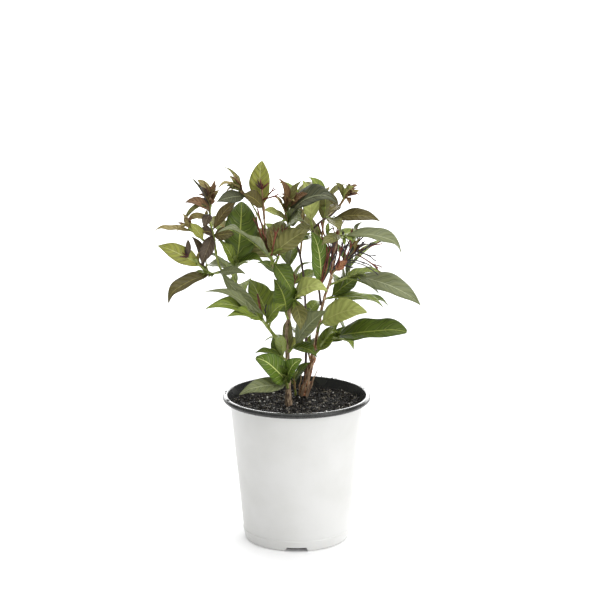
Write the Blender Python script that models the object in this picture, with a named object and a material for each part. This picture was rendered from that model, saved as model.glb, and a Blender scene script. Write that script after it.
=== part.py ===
# Potted weigela: a young shrub with bronze shoot tips in a small round nursery pot.
# Sizes are in millimetres and angles in degrees; the meshes are built in metres, +Z up.
# The origin is the middle of the pot's flat underside. -Y is the front, +X the right.
#
# A heading is a compass angle seen from above: 0 is right (+X), 90 is back (+Y),
# 180 is left and 270 is front. A rise is the angle above the level.

import math
import random

import bmesh
import bpy
from mathutils import Matrix, Vector
from mathutils.bvhtree import BVHTree

MM = 0.001
GAP = 0.3                    # clearance between pieces that touch on the real plant
UP = Vector((0, 0, 1))
FRONT = Vector((0, -1, 0))

# Pot
POT_HEIGHT = 121.0
RIM_RADIUS = 60.5
LIP_INNER_RADIUS = 56.6      # where the rolled lip turns down into the pot
LIP_HEIGHT = 4.2
WALL_TOP_RADIUS = 54.6       # outside, just under the lip
BASE_RADIUS = 43.0
BASE_CORNER = 2.4
LIP_CORNER = 0.6
WALL = 1.2
FLOOR = 1.4
FOOT_BAND_HEIGHT = 9.0       # the lowest band of the wall stands out by FOOT_BAND_STEP
FOOT_BAND_STEP = 0.4
TURN_STEPS = 36
NOTCHES = 3                  # drain notches through the foot of the wall, one at the front
NOTCH_WIDTH_BELOW = 20.0
NOTCH_WIDTH_ABOVE = 16.0
NOTCH_HEIGHT = 3.4
NOTCH_DEPTH = 7.0

# Soil
SOIL_TOP = 113.2
STEM_FOOT = SOIL_TOP + GAP   # level of the stems' flat cuts

# Limbs and twigs
LIMB_SIDES = 8
LIMB_RING_SPACING = 9.0
TWIG_SIDES = 4
STEM_RADIUS = 0.95           # a mass's own stem
STEM_TIP_RADIUS = 0.7
TWIG_RING_SPACING = 13.0
FLARE = 0.45                 # extra radius of a stem where it leaves the soil
FLARE_HEIGHT = 7.0

# Leaves
LEAF_WIDTH = 0.39            # widest place, as a share of the length
LEAF_STALK = 0.07            # stalk, as a share of the length
LEAF_STALK_HALF_WIDTH = 0.55
LEAF_THICKNESS = 0.8
LEAF_THICKNESS_SHARE = 0.012 # and never under this share of the length
LEAF_FOLD = 14.0             # each half is raised by this angle
LEAF_ARCH = 28.0             # how far the midrib turns down along its length
LEAF_STATIONS = (0.18, 0.42, 0.66, 0.87)
LIGHT = Vector((0, -0.4, 1))  # blades turn their upper sides this way
STEM_PULL = 0.5              # and along their own stem, by this much
PAIR_TURN = 90.0             # each pair stands across the one below it

# What a leaf or a stem tries, in this order, until it is clear of the rest
NUDGES = (0, 9, -9, 18, -18, 27, -27)
LIFTS = (0, 10, -10)
SHORTER = (1.0, 0.86, 0.72)

# Pairs: opened by so much from their stem at its foot, and less towards its tip
PAIR_OPENING = 68.0
PAIR_CLOSING = 34.0
PAIR_DROOP = 6.0
PAIR_GROWTH = 1.08           # size at the stem's foot, as a share of the mass's leaf size
PAIR_SHRINK = 0.35           # and how much of it is lost by the tip

# Young leaves and buds at a stem's tip
YOUNG_WIDTH = 0.36
BUD_TURN = 137.5
BUD_RADIUS = 0.75
BUD_LENGTHS = (6.0, 10.5)

# Spent flowers
STALK_RADII = (0.6, 0.5, 0.55)
STALK_FORK = 0.62            # where the stalk forks, as a share of the whole length
LOBE_RADIUS = 0.7
LOBE_LENGTHS = (0.30, 0.40)

# A stem starts at its foot on the soil and a bough starts on a stem at a height.
# The runs that follow are (heading, rise, length), joined into one smooth limb.
LIMBS = {
    "stem_left": dict(foot=(-6.5, -9), thick=2.8, thin=1.9,
                      runs=[(110, 86, 16), (101, 85, 48), (50, 78, 13)]),
    "stem_right": dict(foot=(5, 17.5), thick=2.1, thin=1.3,
                       runs=[(342, 76, 39), (328, 79, 41), (335, 72, 26)]),
    "stem_middle": dict(foot=(4.5, 24.5), thick=1.4, thin=0.9,
                        runs=[(330, 83, 29), (262, 83, 64), (222, 79, 34), (205, 66, 22)]),
    "stem_low": dict(foot=(-0.5, 17.5), thick=1.1, thin=0.8, runs=[(248, 72, 9)]),
    "bough_left": dict(on="stem_left", height=157, thick=1.7, thin=1.0,
                       runs=[(200, 54, 27), (198, 53, 35), (194, 52, 28), (165, 80, 22)]),
    "stub_left": dict(on="bough_left", height=186, thick=1.2, thin=0.9, runs=[(150, 78, 18)]),
    "bough_centre": dict(on="stem_left", height="tip", thick=1.6, thin=0.9,
                         runs=[(309, 74, 13), (218, 62, 17), (204, 55, 17), (159, 74, 21), (120, 80, 18)]),
    "bough_top_left": dict(on="bough_centre", height=258, thick=0.9, thin=0.7,
                           runs=[(185, 66, 16), (190, 60, 10)]),
    "bough_right": dict(on="stem_right", height="tip", thick=1.2, thin=0.8,
                        runs=[(302, 78, 19), (312, 74, 20), (305, 74, 9)]),
    "bough_upper_right": dict(on="stem_right", height=190, thick=1.1, thin=0.8,
                              runs=[(119, 74, 34), (128, 84, 28), (350, 38, 19), (340, 46, 8)]),
}

# A mass of foliage has one stem, seated on a limb at a height or at its tip.
# leaves: (share of the stem, heading, rise, length, tilt to the front, arch), the last two optional
# pairs: how many pairs the rule adds, turned by `turn` at the lowest, of `size` leaves
# tuft: young leaves round the stem's tip, of tuft_size; buds: dark buds there
# stalks: (share of the stem, heading, rise, length) of spent flower stalks
MASSES = {
    "foliage_upper_left": dict(
        on="bough_left", height="tip", runs=[(150, 74, 15), (77, 82, 14)], tint="bronze",
        tuft=5, tuft_size=16, buds=3,
        leaves=[(0.15, 230, -51, 28, 20), (0.25, 33, 44, 33, 30), (0.45, 193, 6, 25, 20, 130),
                (0.70, 254, -29, 18, 0, 60), (0.90, 153, 59, 29, 0, 90)]),
    "foliage_left_tip": dict(
        on="bough_left", height=247, runs=[(203, 36, 12), (200, 44, 15)], tint="bronze", tuft=2, tuft_size=12,
        leaves=[(0.40, 215, 51, 20, 20), (0.80, 182, 6, 32, -5), (0.90, 157, 50, 15)]),
    "foliage_left": dict(
        on="bough_left", height=228, runs=[(201, -7, 8), (205, 38, 12), (195, 40, 13)], tint="olive", buds=8,
        leaves=[(0.25, 205, -22, 43, 0), (0.55, 188, 29, 40, 20), (0.35, 261, 55, 15), (0.08, 328, 8, 27, 0),
                (0.50, 137, 64, 28, -60)]),
    "foliage_big_leaf": dict(
        on="bough_left", height=219, runs=[(343, 77, 14)], tint="green", width=0.48,
        leaves=[(0.90, 77, 67, 53, 50), (0.70, 320, 24, 32, -15), (0.80, 215, 60, 26, 10)]),
    "foliage_low_left": dict(
        on="bough_left", height=176, runs=[(232, 50, 6)], tint="green",
        leaves=[(0.60, 217, 24, 64, 10, 45), (0.40, 231, 21, 52, 5, 40), (0.90, 216, 46, 64, -32, 20),
                (0.60, 307, 44, 31, 20)]),
    "foliage_low_left_back": dict(
        on="bough_left", height=179, runs=[(70, 50, 5)], tint="green",
        leaves=[(0.80, 130, 50, 42, 10)]),
    "foliage_centre": dict(
        on="bough_centre", height=229, runs=[(240, 60, 9)], tint="green",
        leaves=[(0.15, 320, -45, 30, 0), (0.50, 222, 34, 64, -42, 24), (0.90, 9, 35, 38, -10)],
        stalks=[(0.80, 171, 74, 46)]),
    "foliage_centre_back": dict(
        on="bough_centre", height=230, runs=[(40, 60, 8)], tint="green",
        leaves=[(0.20, 40, -50, 28, 10), (0.75, 133, 34, 38, 30), (0.90, 83, 50, 36, 40)],
        stalks=[(0.95, 27, 77, 26)]),
    "foliage_top_left": dict(
        on="bough_top_left", height="tip", runs=[(196, 46, 10)], tint="bronze", tuft=4, tuft_size=14, buds=3,
        width=0.34,
        leaves=[(0.20, 215, 26, 33, -10, 70), (0.30, 223, 0, 31, 10), (0.60, 176, 58, 28, -20),
                (0.80, 232, 46, 22, -20)]),
    "foliage_top": dict(
        on="bough_centre", height="tip", runs=[(139, 84, 13), (180, 86, 10)], tint="olive", buds=9,
        leaves=[(0.30, 224, 34, 26, 10), (0.35, 98, 74, 38, 20), (0.25, 44, -22, 20)],
        stalks=[(0.60, 338, 44, 16)]),
    "foliage_top_centre": dict(
        on="stem_middle", height="tip", runs=[(212, 76, 10), (260, 82, 8)], tint="bronze",
        tuft=2, tuft_size=12, width=0.36,
        leaves=[(0.70, 248, 71, 31), (0.60, 240, 44, 26), (0.55, 334, 66, 32), (0.75, 323, 38, 28),
                (0.25, 155, 30, 17)]),
    "foliage_dark_leaf": dict(
        on="stem_middle", height=256, runs=[(255, 55, 8)], tint="green",
        leaves=[(0.90, 329, 28, 55, -5, 80), (0.45, 287, 18, 34, 20)]),
    "foliage_upper_middle": dict(
        on="bough_upper_right", height=252, runs=[(240, 70, 9)], tint="olive", width=0.36,
        leaves=[(0.60, 240, 73, 39), (0.30, 116, -34, 28)]),
    "foliage_top_right": dict(
        on="bough_upper_right", height="tip", runs=[(335, 58, 9), (343, 52, 5)], tint="bronze", buds=9,
        tuft=2, tuft_size=12,
        leaves=[(0.10, 224, 38, 22), (0.20, 247, -3, 24), (0.50, 300, 48, 21, 20), (0.80, 25, 22, 15),
                (0.85, 279, -8, 18), (0.60, 174, 66, 18, 0, 80)]),
    "foliage_right_long": dict(
        on="bough_upper_right", height=264, runs=[(296, 5, 9)], tint="bronze",
        leaves=[(0.90, 333, 5, 43, 0), (0.50, 284, -7, 32)]),
    "foliage_right": dict(
        on="bough_right", height=253, runs=[(310, 5, 6)], tint="green",
        leaves=[(0.90, 347, -8, 53, -12, 50), (0.50, 230, -6, 26)]),
    "foliage_right_far": dict(
        on="stem_right", height=210, runs=[(355, 25, 20)], tint="green",
        leaves=[(0.90, 334, -15, 65, -8), (0.70, 330, -17, 32, -40), (0.50, 12, 9, 35, -40)]),
    "flowers_right": dict(
        on="bough_right", height=221, runs=[(345, 40, 14), (340, 52, 12)], tint="bronze",
        tuft=2, tuft_size=14, leaves=[],
        stalks=[(0.02, 224, 62, 19), (0.15, 284, 61, 26), (0.35, 59, 64, 17), (0.45, 305, 60, 25),
                (0.60, 7, 61, 24), (0.75, 313, 42, 24), (0.95, 3, 18, 26), (0.95, 324, -7, 24),
                (0.90, 353, -30, 28), (0.70, 325, -38, 36)]),
    "foliage_right_middle": dict(
        on="stem_right", height=205, runs=[(235, 33, 9)], tint="green",
        leaves=[(0.90, 190, 82, 47, 20)]),
    "foliage_right_inner": dict(
        on="stem_right", height=198, runs=[(44, 5, 7)], tint="green",
        leaves=[(0.90, 20, 33, 30, 10), (0.50, 358, -6, 47, -15)]),
    "foliage_right_olive": dict(
        on="stem_right", height=168, runs=[(292, 58, 8)], tint="olive", width=0.48,
        leaves=[(0.90, 331, 23, 44, 10, 24)]),
    "foliage_right_low": dict(
        on="stem_right", height=150, runs=[(335, 44, 22)], tint="green",
        leaves=[(0.95, 334, 12, 66, 10, 16), (0.80, 299, 6, 40, -10), (0.25, 292, 38, 36, 20),
                (0.60, 24, 19, 28)]),
    "foliage_inner": dict(
        on="bough_centre", height=199, runs=[(290, 30, 6)], tint="olive",
        leaves=[(0.80, 320, 25, 39, 20, 70), (0.50, 290, -48, 28)]),
    "foliage_inner_dark": dict(
        on="stem_left", height=184, runs=[(250, 48, 7)], tint="green", width=0.46,
        leaves=[(0.80, 246, 57, 39, 30)]),
    "foliage_inner_low": dict(
        on="stem_left", height=157, runs=[(320, 43, 10)], tint="green",
        leaves=[(0.80, 329, 49, 44, -10), (0.50, 308, 2, 30)]),
    "foliage_low_front": dict(
        on="stem_left", height=150, runs=[(230, 35, 8)], tint="green",
        leaves=[(0.80, 213, 18, 26, -10), (0.50, 258, 52, 31)]),
    "foliage_foot": dict(
        on="stem_left", height=126, runs=[(259, 52, 7)], tint="green",
        leaves=[(0.80, 217, 44, 38, 10), (0.70, 300, 54, 30), (0.40, 219, 4, 47, 10)]),
    "foliage_foot_back": dict(
        on="stem_low", height="tip", runs=[(250, 74, 8)], tint="green", pairs=2, size=24, turn=30, leaves=[]),
    "foliage_back_low": dict(
        on="stem_right", height=142, runs=[(100, 30, 22), (95, 55, 20)], tint="green",
        pairs=3, size=40, turn=20, leaves=[]),
    "foliage_back_left": dict(
        on="bough_left", height=204, runs=[(120, 35, 24), (105, 60, 34)], tint="green",
        pairs=4, size=42, turn=60, tuft=3, tuft_size=14, leaves=[]),
    "foliage_back_inner": dict(
        on="stem_left", height=174, runs=[(85, 35, 34), (95, 62, 40)], tint="green",
        pairs=5, size=45, turn=10, leaves=[]),
    "foliage_back_top": dict(
        on="stem_middle", height=234, runs=[(85, 35, 24), (95, 62, 26)], tint="bronze",
        pairs=3, size=38, turn=40, tuft=4, tuft_size=14, leaves=[]),
    "foliage_back_right": dict(
        on="stem_right", height=176, runs=[(50, 30, 32), (65, 60, 42)], tint="green",
        pairs=5, size=45, turn=80, leaves=[]),
    "foliage_back_upper": dict(
        on="bough_upper_right", height=232, runs=[(70, 35, 22), (80, 66, 28)], tint="bronze",
        pairs=3, size=38, turn=0, tuft=4, tuft_size=14, leaves=[]),
}

# Base colours (linear), roughness
FINISHES = {
    "white_plastic": ((0.80, 0.80, 0.79), 0.35),
    "potting_mix": ((0.018, 0.013, 0.010), 0.95),
    "bark": ((0.20, 0.13, 0.075), 0.85),
    "green": ((0.065, 0.14, 0.030), 0.50),
    "olive": ((0.15, 0.17, 0.055), 0.50),
    "bronze": ((0.13, 0.075, 0.040), 0.50),
}


def compass(heading, rise):
    across, upward = math.radians(heading), math.radians(rise)
    level = math.cos(upward)
    return Vector((math.cos(across) * level, math.sin(across) * level, math.sin(upward)))


def square_to(vector, axis):
    """The part of a vector that stands square to an axis, at unit length."""
    part = vector - axis * vector.dot(axis)
    if part.length < 1e-3:
        part = axis.orthogonal()
    return part.normalized()


def spline(a, b, c, d, t):
    """A Catmull-Rom curve from b to c, with a before and d after them."""
    squared, cubed = 2 * a - 5 * b + 4 * c - d, 3 * b - a - 3 * c + d
    return 0.5 * (2 * b + (c - a) * t + squared * t ** 2 + cubed * t ** 3)


def smooth_route(start, runs, spacing):
    """Points along a smooth curve through the ends of the runs, about a spacing apart."""
    corners = [Vector(start)]
    for heading, rise, length in runs:
        corners.append(corners[-1] + compass(heading, rise) * length)
    ends = [2 * corners[0] - corners[1]] + corners + [2 * corners[-1] - corners[-2]]
    points = [corners[0]]
    for i in range(1, len(ends) - 2):
        steps = max(1, round((ends[i + 1] - ends[i]).length / spacing))
        for k in range(1, steps + 1):
            points.append(spline(ends[i - 1], ends[i], ends[i + 1], ends[i + 2], k / steps))
    return points


def place_on(route, share):
    """The run of a route that holds a share of its length, and how far along that run it is."""
    lengths = [(b - a).length for a, b in zip(route, route[1:])]
    left = share * sum(lengths)
    for i, length in enumerate(lengths):
        if left <= length or i == len(lengths) - 1:
            return i, min(1.0, left / length)
        left -= length


def along(route, share):
    """The point and the direction at a share of a route's length."""
    i, part = place_on(route, share)
    step = route[i + 1] - route[i]
    return route[i] + step * part, step.normalized()


def radius_along(route, radii, share):
    i, part = place_on(route, share)
    return radii[i] + (radii[i + 1] - radii[i]) * part


def share_at_height(route, height):
    """The share of a rising route's length at which it first passes a height."""
    for k in range(201):
        if along(route, k / 200)[0].z >= height:
            return k / 200
    return 1.0


def tube(route, radii, sides, cut=None):
    """A closed tube along a route. Its first ring can lie on a slanting cut (point, normal)."""
    across = square_to(Vector((1, 0.2, 0)), (route[1] - route[0]).normalized())
    vertices, faces = [], []
    for i, point in enumerate(route):
        ahead = route[min(i + 1, len(route) - 1)] - route[max(i - 1, 0)]
        direction = ahead.normalized()
        across = square_to(across, direction)
        other = direction.cross(across)
        for k in range(sides):
            angle = 2 * math.pi * k / sides
            corner = point + (across * math.cos(angle) + other * math.sin(angle)) * radii[i]
            if i == 0 and cut:
                corner += direction * ((cut[0] - corner).dot(cut[1]) / direction.dot(cut[1]))
            vertices.append(corner)
    for i in range(len(route) - 1):
        for k in range(sides):
            a, b = i * sides + k, i * sides + (k + 1) % sides
            faces.append((a, b, b + sides, a + sides))
    faces.append(tuple(reversed(range(sides))))
    faces.append(tuple(range(len(vertices) - sides, len(vertices))))
    return vertices, faces


def spindle(base, direction, length, radius):
    """A bud: three sides, widest at two fifths, and a pointed end."""
    across = square_to(UP, direction)
    other = direction.cross(across)
    vertices = []
    for share, size in ((0.0, 0.55), (0.4, 1.0)):
        for k in range(3):
            angle = 2 * math.pi * k / 3
            side = across * math.cos(angle) + other * math.sin(angle)
            vertices.append(base + direction * (length * share) + side * (radius * size))
    vertices.append(base + direction * length)
    faces = [(2, 1, 0)]
    for k in range(3):
        n = (k + 1) % 3
        faces += [(k, n, n + 3, k + 3), (k + 3, n + 3, 6)]
    return vertices, faces


def half_width(share):
    """Half the blade's width at a share of its length, with 1 at the widest place."""
    body = math.sin(math.pi * share ** 0.92) ** 0.85
    return body * (1 - 0.30 * max(0.0, share - 0.72) / 0.28)


def leaf(base, direction, facing, length, arch, width, extra=0.0):
    """A folded blade on a short stalk. The direction runs from base to tip; facing is its upper side."""
    turn = math.radians(max(arch, 1))
    side = facing.cross(direction)
    fold = math.radians(LEAF_FOLD)
    thickness = max(LEAF_THICKNESS, LEAF_THICKNESS_SHARE * length) + 2 * extra
    stations = [(0.0, LEAF_STALK_HALF_WIDTH), (LEAF_STALK, LEAF_STALK_HALF_WIDTH)]
    for share in LEAF_STATIONS:
        stations.append((LEAF_STALK + (1 - LEAF_STALK) * share, 0.5 * width * half_width(share)))
    vertices, faces = [], []
    for share, half in stations + [(1.0, 0.0)]:
        angle = turn * (0.5 - share)
        ahead = (math.sin(turn / 2) - math.sin(angle)) / turn
        above = (math.cos(angle) - math.cos(turn / 2)) / turn
        middle = base + (direction * ahead + facing * above) * length
        if half == 0.0:
            vertices.append(middle + direction * extra)
            break
        up = facing * math.cos(angle) - direction * math.sin(angle)
        out = side * math.cos(fold) * (half + extra)
        raised = up * math.sin(fold) * (half + extra)
        vertices += [middle - out + raised, middle - up * thickness / 2,
                     middle + out + raised, middle + up * thickness / 2]
    rings = len(stations)
    for i in range(rings - 1):
        for k in range(4):
            a, b = 4 * i + k, 4 * i + (k + 1) % 4
            faces.append((a, b, b + 4, a + 4))
    tip = len(vertices) - 1
    for k in range(4):
        faces.append((4 * (rings - 1) + k, 4 * (rings - 1) + (k + 1) % 4, tip))
    faces.append((3, 2, 1, 0))
    return vertices, faces


def spent_flower(base, direction, length, chance):
    """A thin stalk that forks into the dried lobes of two or three spent flowers."""
    fork = base + direction * (length * STALK_FORK)
    pieces = [tube([base, base + direction * (length * STALK_FORK / 2), fork], STALK_RADII, 3)]
    first = chance.uniform(0, 360)
    lobes = chance.choice((2, 3))
    across = square_to(UP, direction)
    for k in range(lobes):
        spread = Matrix.Rotation(math.radians(first + 360 * k / lobes), 3, direction) @ across
        lobe = (direction + spread * chance.uniform(0.18, 0.42)).normalized()
        reach = length * chance.uniform(*LOBE_LENGTHS)
        pieces.append(spindle(fork - direction * LOBE_RADIUS, lobe, reach, LOBE_RADIUS))
    return pieces


class Crown:
    """The limbs and masses grown so far, and what a new piece has to keep clear of."""

    def __init__(self):
        self.limbs = {}
        self.masses = {}
        self.taken = []

    def take(self, owner, piece):
        self.taken.append((owner, BVHTree.FromPolygons(*piece)))

    def is_clear(self, owner, piece):
        tree = BVHTree.FromPolygons(*piece)
        return not any(tree.overlap(other) for name, other in self.taken if name != owner)

    def seat(self, on, height, first_run):
        """Where a limb or a stem starts: (point, cut), a gap clear of the limb that carries it."""
        route, radii = self.limbs[on]
        direction = compass(first_run[0], first_run[1])
        if height == "tip":
            point, tangent = along(route, 1.0)
            cut = point + tangent * GAP
            return point + direction * (GAP / direction.dot(tangent)), (cut, tangent)
        share = share_at_height(route, height)
        point, tangent = along(route, share)
        outward = square_to(direction, tangent)
        clear_of_bark = radius_along(route, radii, share) + GAP
        start = point + direction * (clear_of_bark / direction.dot(outward))
        return start, (start, outward)


def tapered(route, thick, thin, is_stem=False):
    radii = []
    for i, point in enumerate(route):
        radius = thick + (thin - thick) * i / (len(route) - 1)
        if is_stem:
            height = point.z - route[0].z
            radius *= 1 + FLARE * max(0.0, 1 - height / FLARE_HEIGHT) ** 2
        radii.append(radius)
    return radii


def grow_limb(crown, name, limb):
    cut = None
    if "foot" in limb:
        start = Vector((*limb["foot"], STEM_FOOT))
        cut = (start, UP)
    else:
        start, cut = crown.seat(limb["on"], limb["height"], limb["runs"][0])
    route = smooth_route(start, limb["runs"], LIMB_RING_SPACING)
    if "foot" in limb:
        route.insert(1, along(route, 0.3 * LIMB_RING_SPACING / limb["runs"][0][2])[0])
    radii = tapered(route, limb["thick"], limb["thin"], "foot" in limb)
    piece = tube(route, radii, LIMB_SIDES, cut)
    crown.limbs[name] = (route, radii)
    crown.take(name, piece)
    return piece


def blade_facing(direction, stem_direction, tilt):
    """A blade's upper side looks along its stem and to the light, and is tilted to the front."""
    facing = square_to(stem_direction * STEM_PULL + LIGHT, direction)
    to_front = math.copysign(1, direction.cross(facing).dot(FRONT))
    return Matrix.Rotation(math.radians(tilt) * to_front, 3, direction) @ facing


def add_leaf(crown, name, base, stem_direction, heading, rise, length, tilt, arch, width):
    """Adds a leaf, turned aside or shortened until it is clear of the rest, or leaves it out."""
    for shorter in SHORTER:
        for aside in NUDGES:
            for lift in LIFTS:
                direction = compass(heading + aside, rise + lift)
                facing = blade_facing(direction, stem_direction, tilt)
                shape = (base, direction, facing, length * shorter, arch, width * length * shorter)
                if crown.is_clear(name, leaf(*shape, extra=GAP)):
                    piece = leaf(*shape)
                    crown.masses[name].append(piece)
                    crown.take(name, piece)
                    return True
    return False


def grow_stem(crown, name, mass):
    """The stem of a mass, which all its leaves and twigs grow from."""
    for aside in NUDGES:
        heading, rise, length = mass["runs"][0]
        runs = [(heading + aside, rise, length)] + mass["runs"][1:]
        start, cut = crown.seat(mass["on"], mass["height"], runs[0])
        route = smooth_route(start, runs, TWIG_RING_SPACING)
        radii = tapered(route, STEM_RADIUS, STEM_TIP_RADIUS)
        piece = tube(route, radii, TWIG_SIDES, cut)
        if crown.is_clear(name, tube(route, [radius + GAP for radius in radii], TWIG_SIDES, cut)):
            break
    crown.masses[name] = [piece]
    crown.take(name, piece)
    return route


def grow_shown_leaves(crown, name, mass, route, chance):
    for share, heading, rise, length, *rest in mass["leaves"]:
        tilt = rest[0] if rest else 0
        arch = rest[1] if len(rest) > 1 else LEAF_ARCH
        base, direction = along(route, share)
        add_leaf(crown, name, base, direction, heading, rise, length, tilt + chance.uniform(-6, 6),
                 arch, mass.get("width", LEAF_WIDTH))
    for share, heading, rise, length in mass.get("stalks", ()):
        base = along(route, share)[0]
        pieces = spent_flower(base, compass(heading, rise), length, chance)
        if all(crown.is_clear(name, piece) for piece in pieces):
            for piece in pieces:
                crown.masses[name].append(piece)
                crown.take(name, piece)


def pair_direction(direction, turn, opening):
    """A leaf's direction: opened from its stem's direction, on the side that the turn gives."""
    across = square_to(Vector((1, 0, 0)), direction)
    side = Matrix.Rotation(math.radians(turn), 3, direction) @ across
    opened = math.radians(opening)
    return direction * math.cos(opened) + side * math.sin(opened)


def to_compass(vector):
    return math.degrees(math.atan2(vector.y, vector.x)), math.degrees(math.asin(vector.z / vector.length))


def grow_pairs(crown, name, mass, route, chance):
    """Opposite pairs, each turned across the last, smaller and steeper towards the tip."""
    pairs = mass.get("pairs", 0)
    for i in range(pairs):
        share = (i + 1) / pairs
        base, direction = along(route, min(share, 0.98))
        opening = PAIR_OPENING - PAIR_CLOSING * share
        for side in (0, 180):
            turn = mass["turn"] + PAIR_TURN * i + side + chance.uniform(-14, 14)
            aim = pair_direction(direction, turn, opening + chance.uniform(-8, 8))
            heading, rise = to_compass(aim)
            length = mass["size"] * (PAIR_GROWTH - PAIR_SHRINK * share) * chance.uniform(0.88, 1.12)
            add_leaf(crown, name, base, direction, heading, rise - PAIR_DROOP, length,
                     chance.uniform(-10, 10), LEAF_ARCH + chance.uniform(-8, 14), LEAF_WIDTH)


def grow_tuft(crown, name, mass, route, chance):
    """Young leaves and dark buds crowded round the stem's tip."""
    tip, direction = along(route, 0.99)
    first = chance.uniform(0, 360)
    for i in range(mass.get("tuft", 0)):
        turn = first + PAIR_TURN * (i // 2) + 180 * (i % 2) + chance.uniform(-15, 15)
        heading, rise = to_compass(pair_direction(direction, turn, chance.uniform(16, 44)))
        length = mass["tuft_size"] * chance.uniform(0.75, 1.2)
        add_leaf(crown, name, tip - direction * STEM_TIP_RADIUS, direction, heading, rise, length,
                 0, chance.uniform(10, 50), YOUNG_WIDTH)
    for i in range(mass.get("buds", 0)):
        turn = first + BUD_TURN * i
        aim = pair_direction(direction, turn, chance.uniform(8, 62))
        piece = spindle(tip - direction * STEM_TIP_RADIUS, aim, chance.uniform(*BUD_LENGTHS), BUD_RADIUS)
        if crown.is_clear(name, piece):
            crown.masses[name].append(piece)
            crown.take(name, piece)


def clear_scene():
    for item in list(bpy.data.objects):
        bpy.data.objects.remove(item, do_unlink=True)


def finish(name):
    material = bpy.data.materials.get(name)
    if material:
        return material
    colour, roughness = FINISHES[name]
    material = bpy.data.materials.new(name)
    material.use_nodes = True
    shader = material.node_tree.nodes["Principled BSDF"]
    shader.inputs["Base Color"].default_value = (*colour, 1)
    shader.inputs["Roughness"].default_value = roughness
    shader.inputs["Metallic"].default_value = 0.0
    material.diffuse_color = (*colour, 1)
    return material


def solid_object(name, piece, material):
    """One object from a piece's vertices, in millimetres, and faces."""
    vertices, faces = piece
    mesh = bpy.data.meshes.new(name)
    mesh.from_pydata([vertex * MM for vertex in vertices], [], faces)
    mesh.materials.append(finish(material))
    item = bpy.data.objects.new(name, mesh)
    bpy.context.scene.collection.objects.link(item)
    return item


def fuse(name, pieces, material):
    """One closed solid from overlapping pieces, by a Boolean union on a collection."""
    whole = solid_object(name, pieces[0], material)
    others = bpy.data.collections.new(name + "_pieces")
    bpy.context.scene.collection.children.link(others)
    for i, piece in enumerate(pieces[1:]):
        item = solid_object(f"{name}_{i}", piece, material)
        bpy.context.scene.collection.objects.unlink(item)
        others.objects.link(item)
    union = whole.modifiers.new("union", "BOOLEAN")
    union.operation = "UNION"
    union.operand_type = "COLLECTION"
    union.collection = others
    union.solver = "EXACT"
    fused = bpy.data.meshes.new_from_object(whole.evaluated_get(bpy.context.evaluated_depsgraph_get()))
    whole.modifiers.clear()
    whole.data = fused
    fused.name = name
    for item in list(others.objects):
        bpy.data.objects.remove(item, do_unlink=True)
    bpy.data.collections.remove(others)
    keep_largest_shell(fused)
    return whole


def keep_largest_shell(mesh):
    """Drops loose scraps and fills sealed hollows: only the shell with the most vertices stays."""
    form = bmesh.new()
    form.from_mesh(mesh)
    waiting = set(form.verts)
    shells = []
    while waiting:
        shell, edge = set(), [waiting.pop()]
        while edge:
            vertex = edge.pop()
            shell.add(vertex)
            for link in vertex.link_edges:
                neighbour = link.other_vert(vertex)
                if neighbour in waiting:
                    waiting.discard(neighbour)
                    edge.append(neighbour)
        shells.append(shell)
    largest = max(shells, key=len)
    scraps = [vertex for vertex in form.verts if vertex not in largest]
    bmesh.ops.delete(form, geom=scraps, context="VERTS")
    form.to_mesh(mesh)
    form.free()


def turned_solid(name, profile, material):
    """A solid of revolution about Z from a closed outline of (radius, height)."""
    form = bmesh.new()
    corners = [form.verts.new((radius * MM, 0, height * MM)) for radius, height in profile]
    edges = [form.edges.new((corners[i], corners[i + 1])) for i in range(len(corners) - 1)]
    bmesh.ops.spin(form, geom=corners + edges, cent=(0, 0, 0), axis=(0, 0, 1), angle=2 * math.pi,
                   steps=TURN_STEPS, use_merge=True)
    bmesh.ops.remove_doubles(form, verts=form.verts, dist=0.00001)
    bmesh.ops.recalc_face_normals(form, faces=form.faces)
    mesh = bpy.data.meshes.new(name)
    form.to_mesh(mesh)
    form.free()
    mesh.materials.append(finish(material))
    mesh.shade_smooth()
    mesh.set_sharp_from_angle(angle=math.radians(30))
    item = bpy.data.objects.new(name, mesh)
    bpy.context.scene.collection.objects.link(item)
    return item


def arc(centre, radius, start, end, steps):
    """Points (radius, height) along an arc of the pot's outline, from a start to an end angle."""
    points = []
    for k in range(steps + 1):
        angle = math.radians(start + (end - start) * k / steps)
        points.append((centre[0] + radius * math.cos(angle), centre[1] + radius * math.sin(angle)))
    return points


def wall_radius(height):
    """The pot's outer radius at a height."""
    return BASE_RADIUS + (WALL_TOP_RADIUS - BASE_RADIUS) * height / (POT_HEIGHT - LIP_HEIGHT)


def make_pot():
    lip_foot = POT_HEIGHT - LIP_HEIGHT
    roll = LIP_HEIGHT / 2
    outline = [(0, 0)]
    outline += arc((BASE_RADIUS - BASE_CORNER, BASE_CORNER), BASE_CORNER, -90, 0, 3)
    outline += [(wall_radius(FOOT_BAND_HEIGHT) + FOOT_BAND_STEP, FOOT_BAND_HEIGHT),
                (wall_radius(FOOT_BAND_HEIGHT), FOOT_BAND_HEIGHT + FOOT_BAND_STEP),
                (wall_radius(lip_foot), lip_foot - LIP_CORNER)]
    outline += arc((RIM_RADIUS - roll, POT_HEIGHT - roll), roll, -90, 90, 6)
    outline += [(LIP_INNER_RADIUS + LIP_CORNER, POT_HEIGHT), (LIP_INNER_RADIUS, POT_HEIGHT - LIP_CORNER),
                (wall_radius(SOIL_TOP) - WALL, SOIL_TOP + 1.0),
                (wall_radius(FLOOR + BASE_CORNER) - WALL, FLOOR + BASE_CORNER),
                (BASE_RADIUS - BASE_CORNER, FLOOR), (0, FLOOR)]
    pot = turned_solid("pot", outline, "white_plastic")
    for i in range(NOTCHES):
        cut_notch(pot, 270 + 360 * i / NOTCHES)
    return pot


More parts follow.
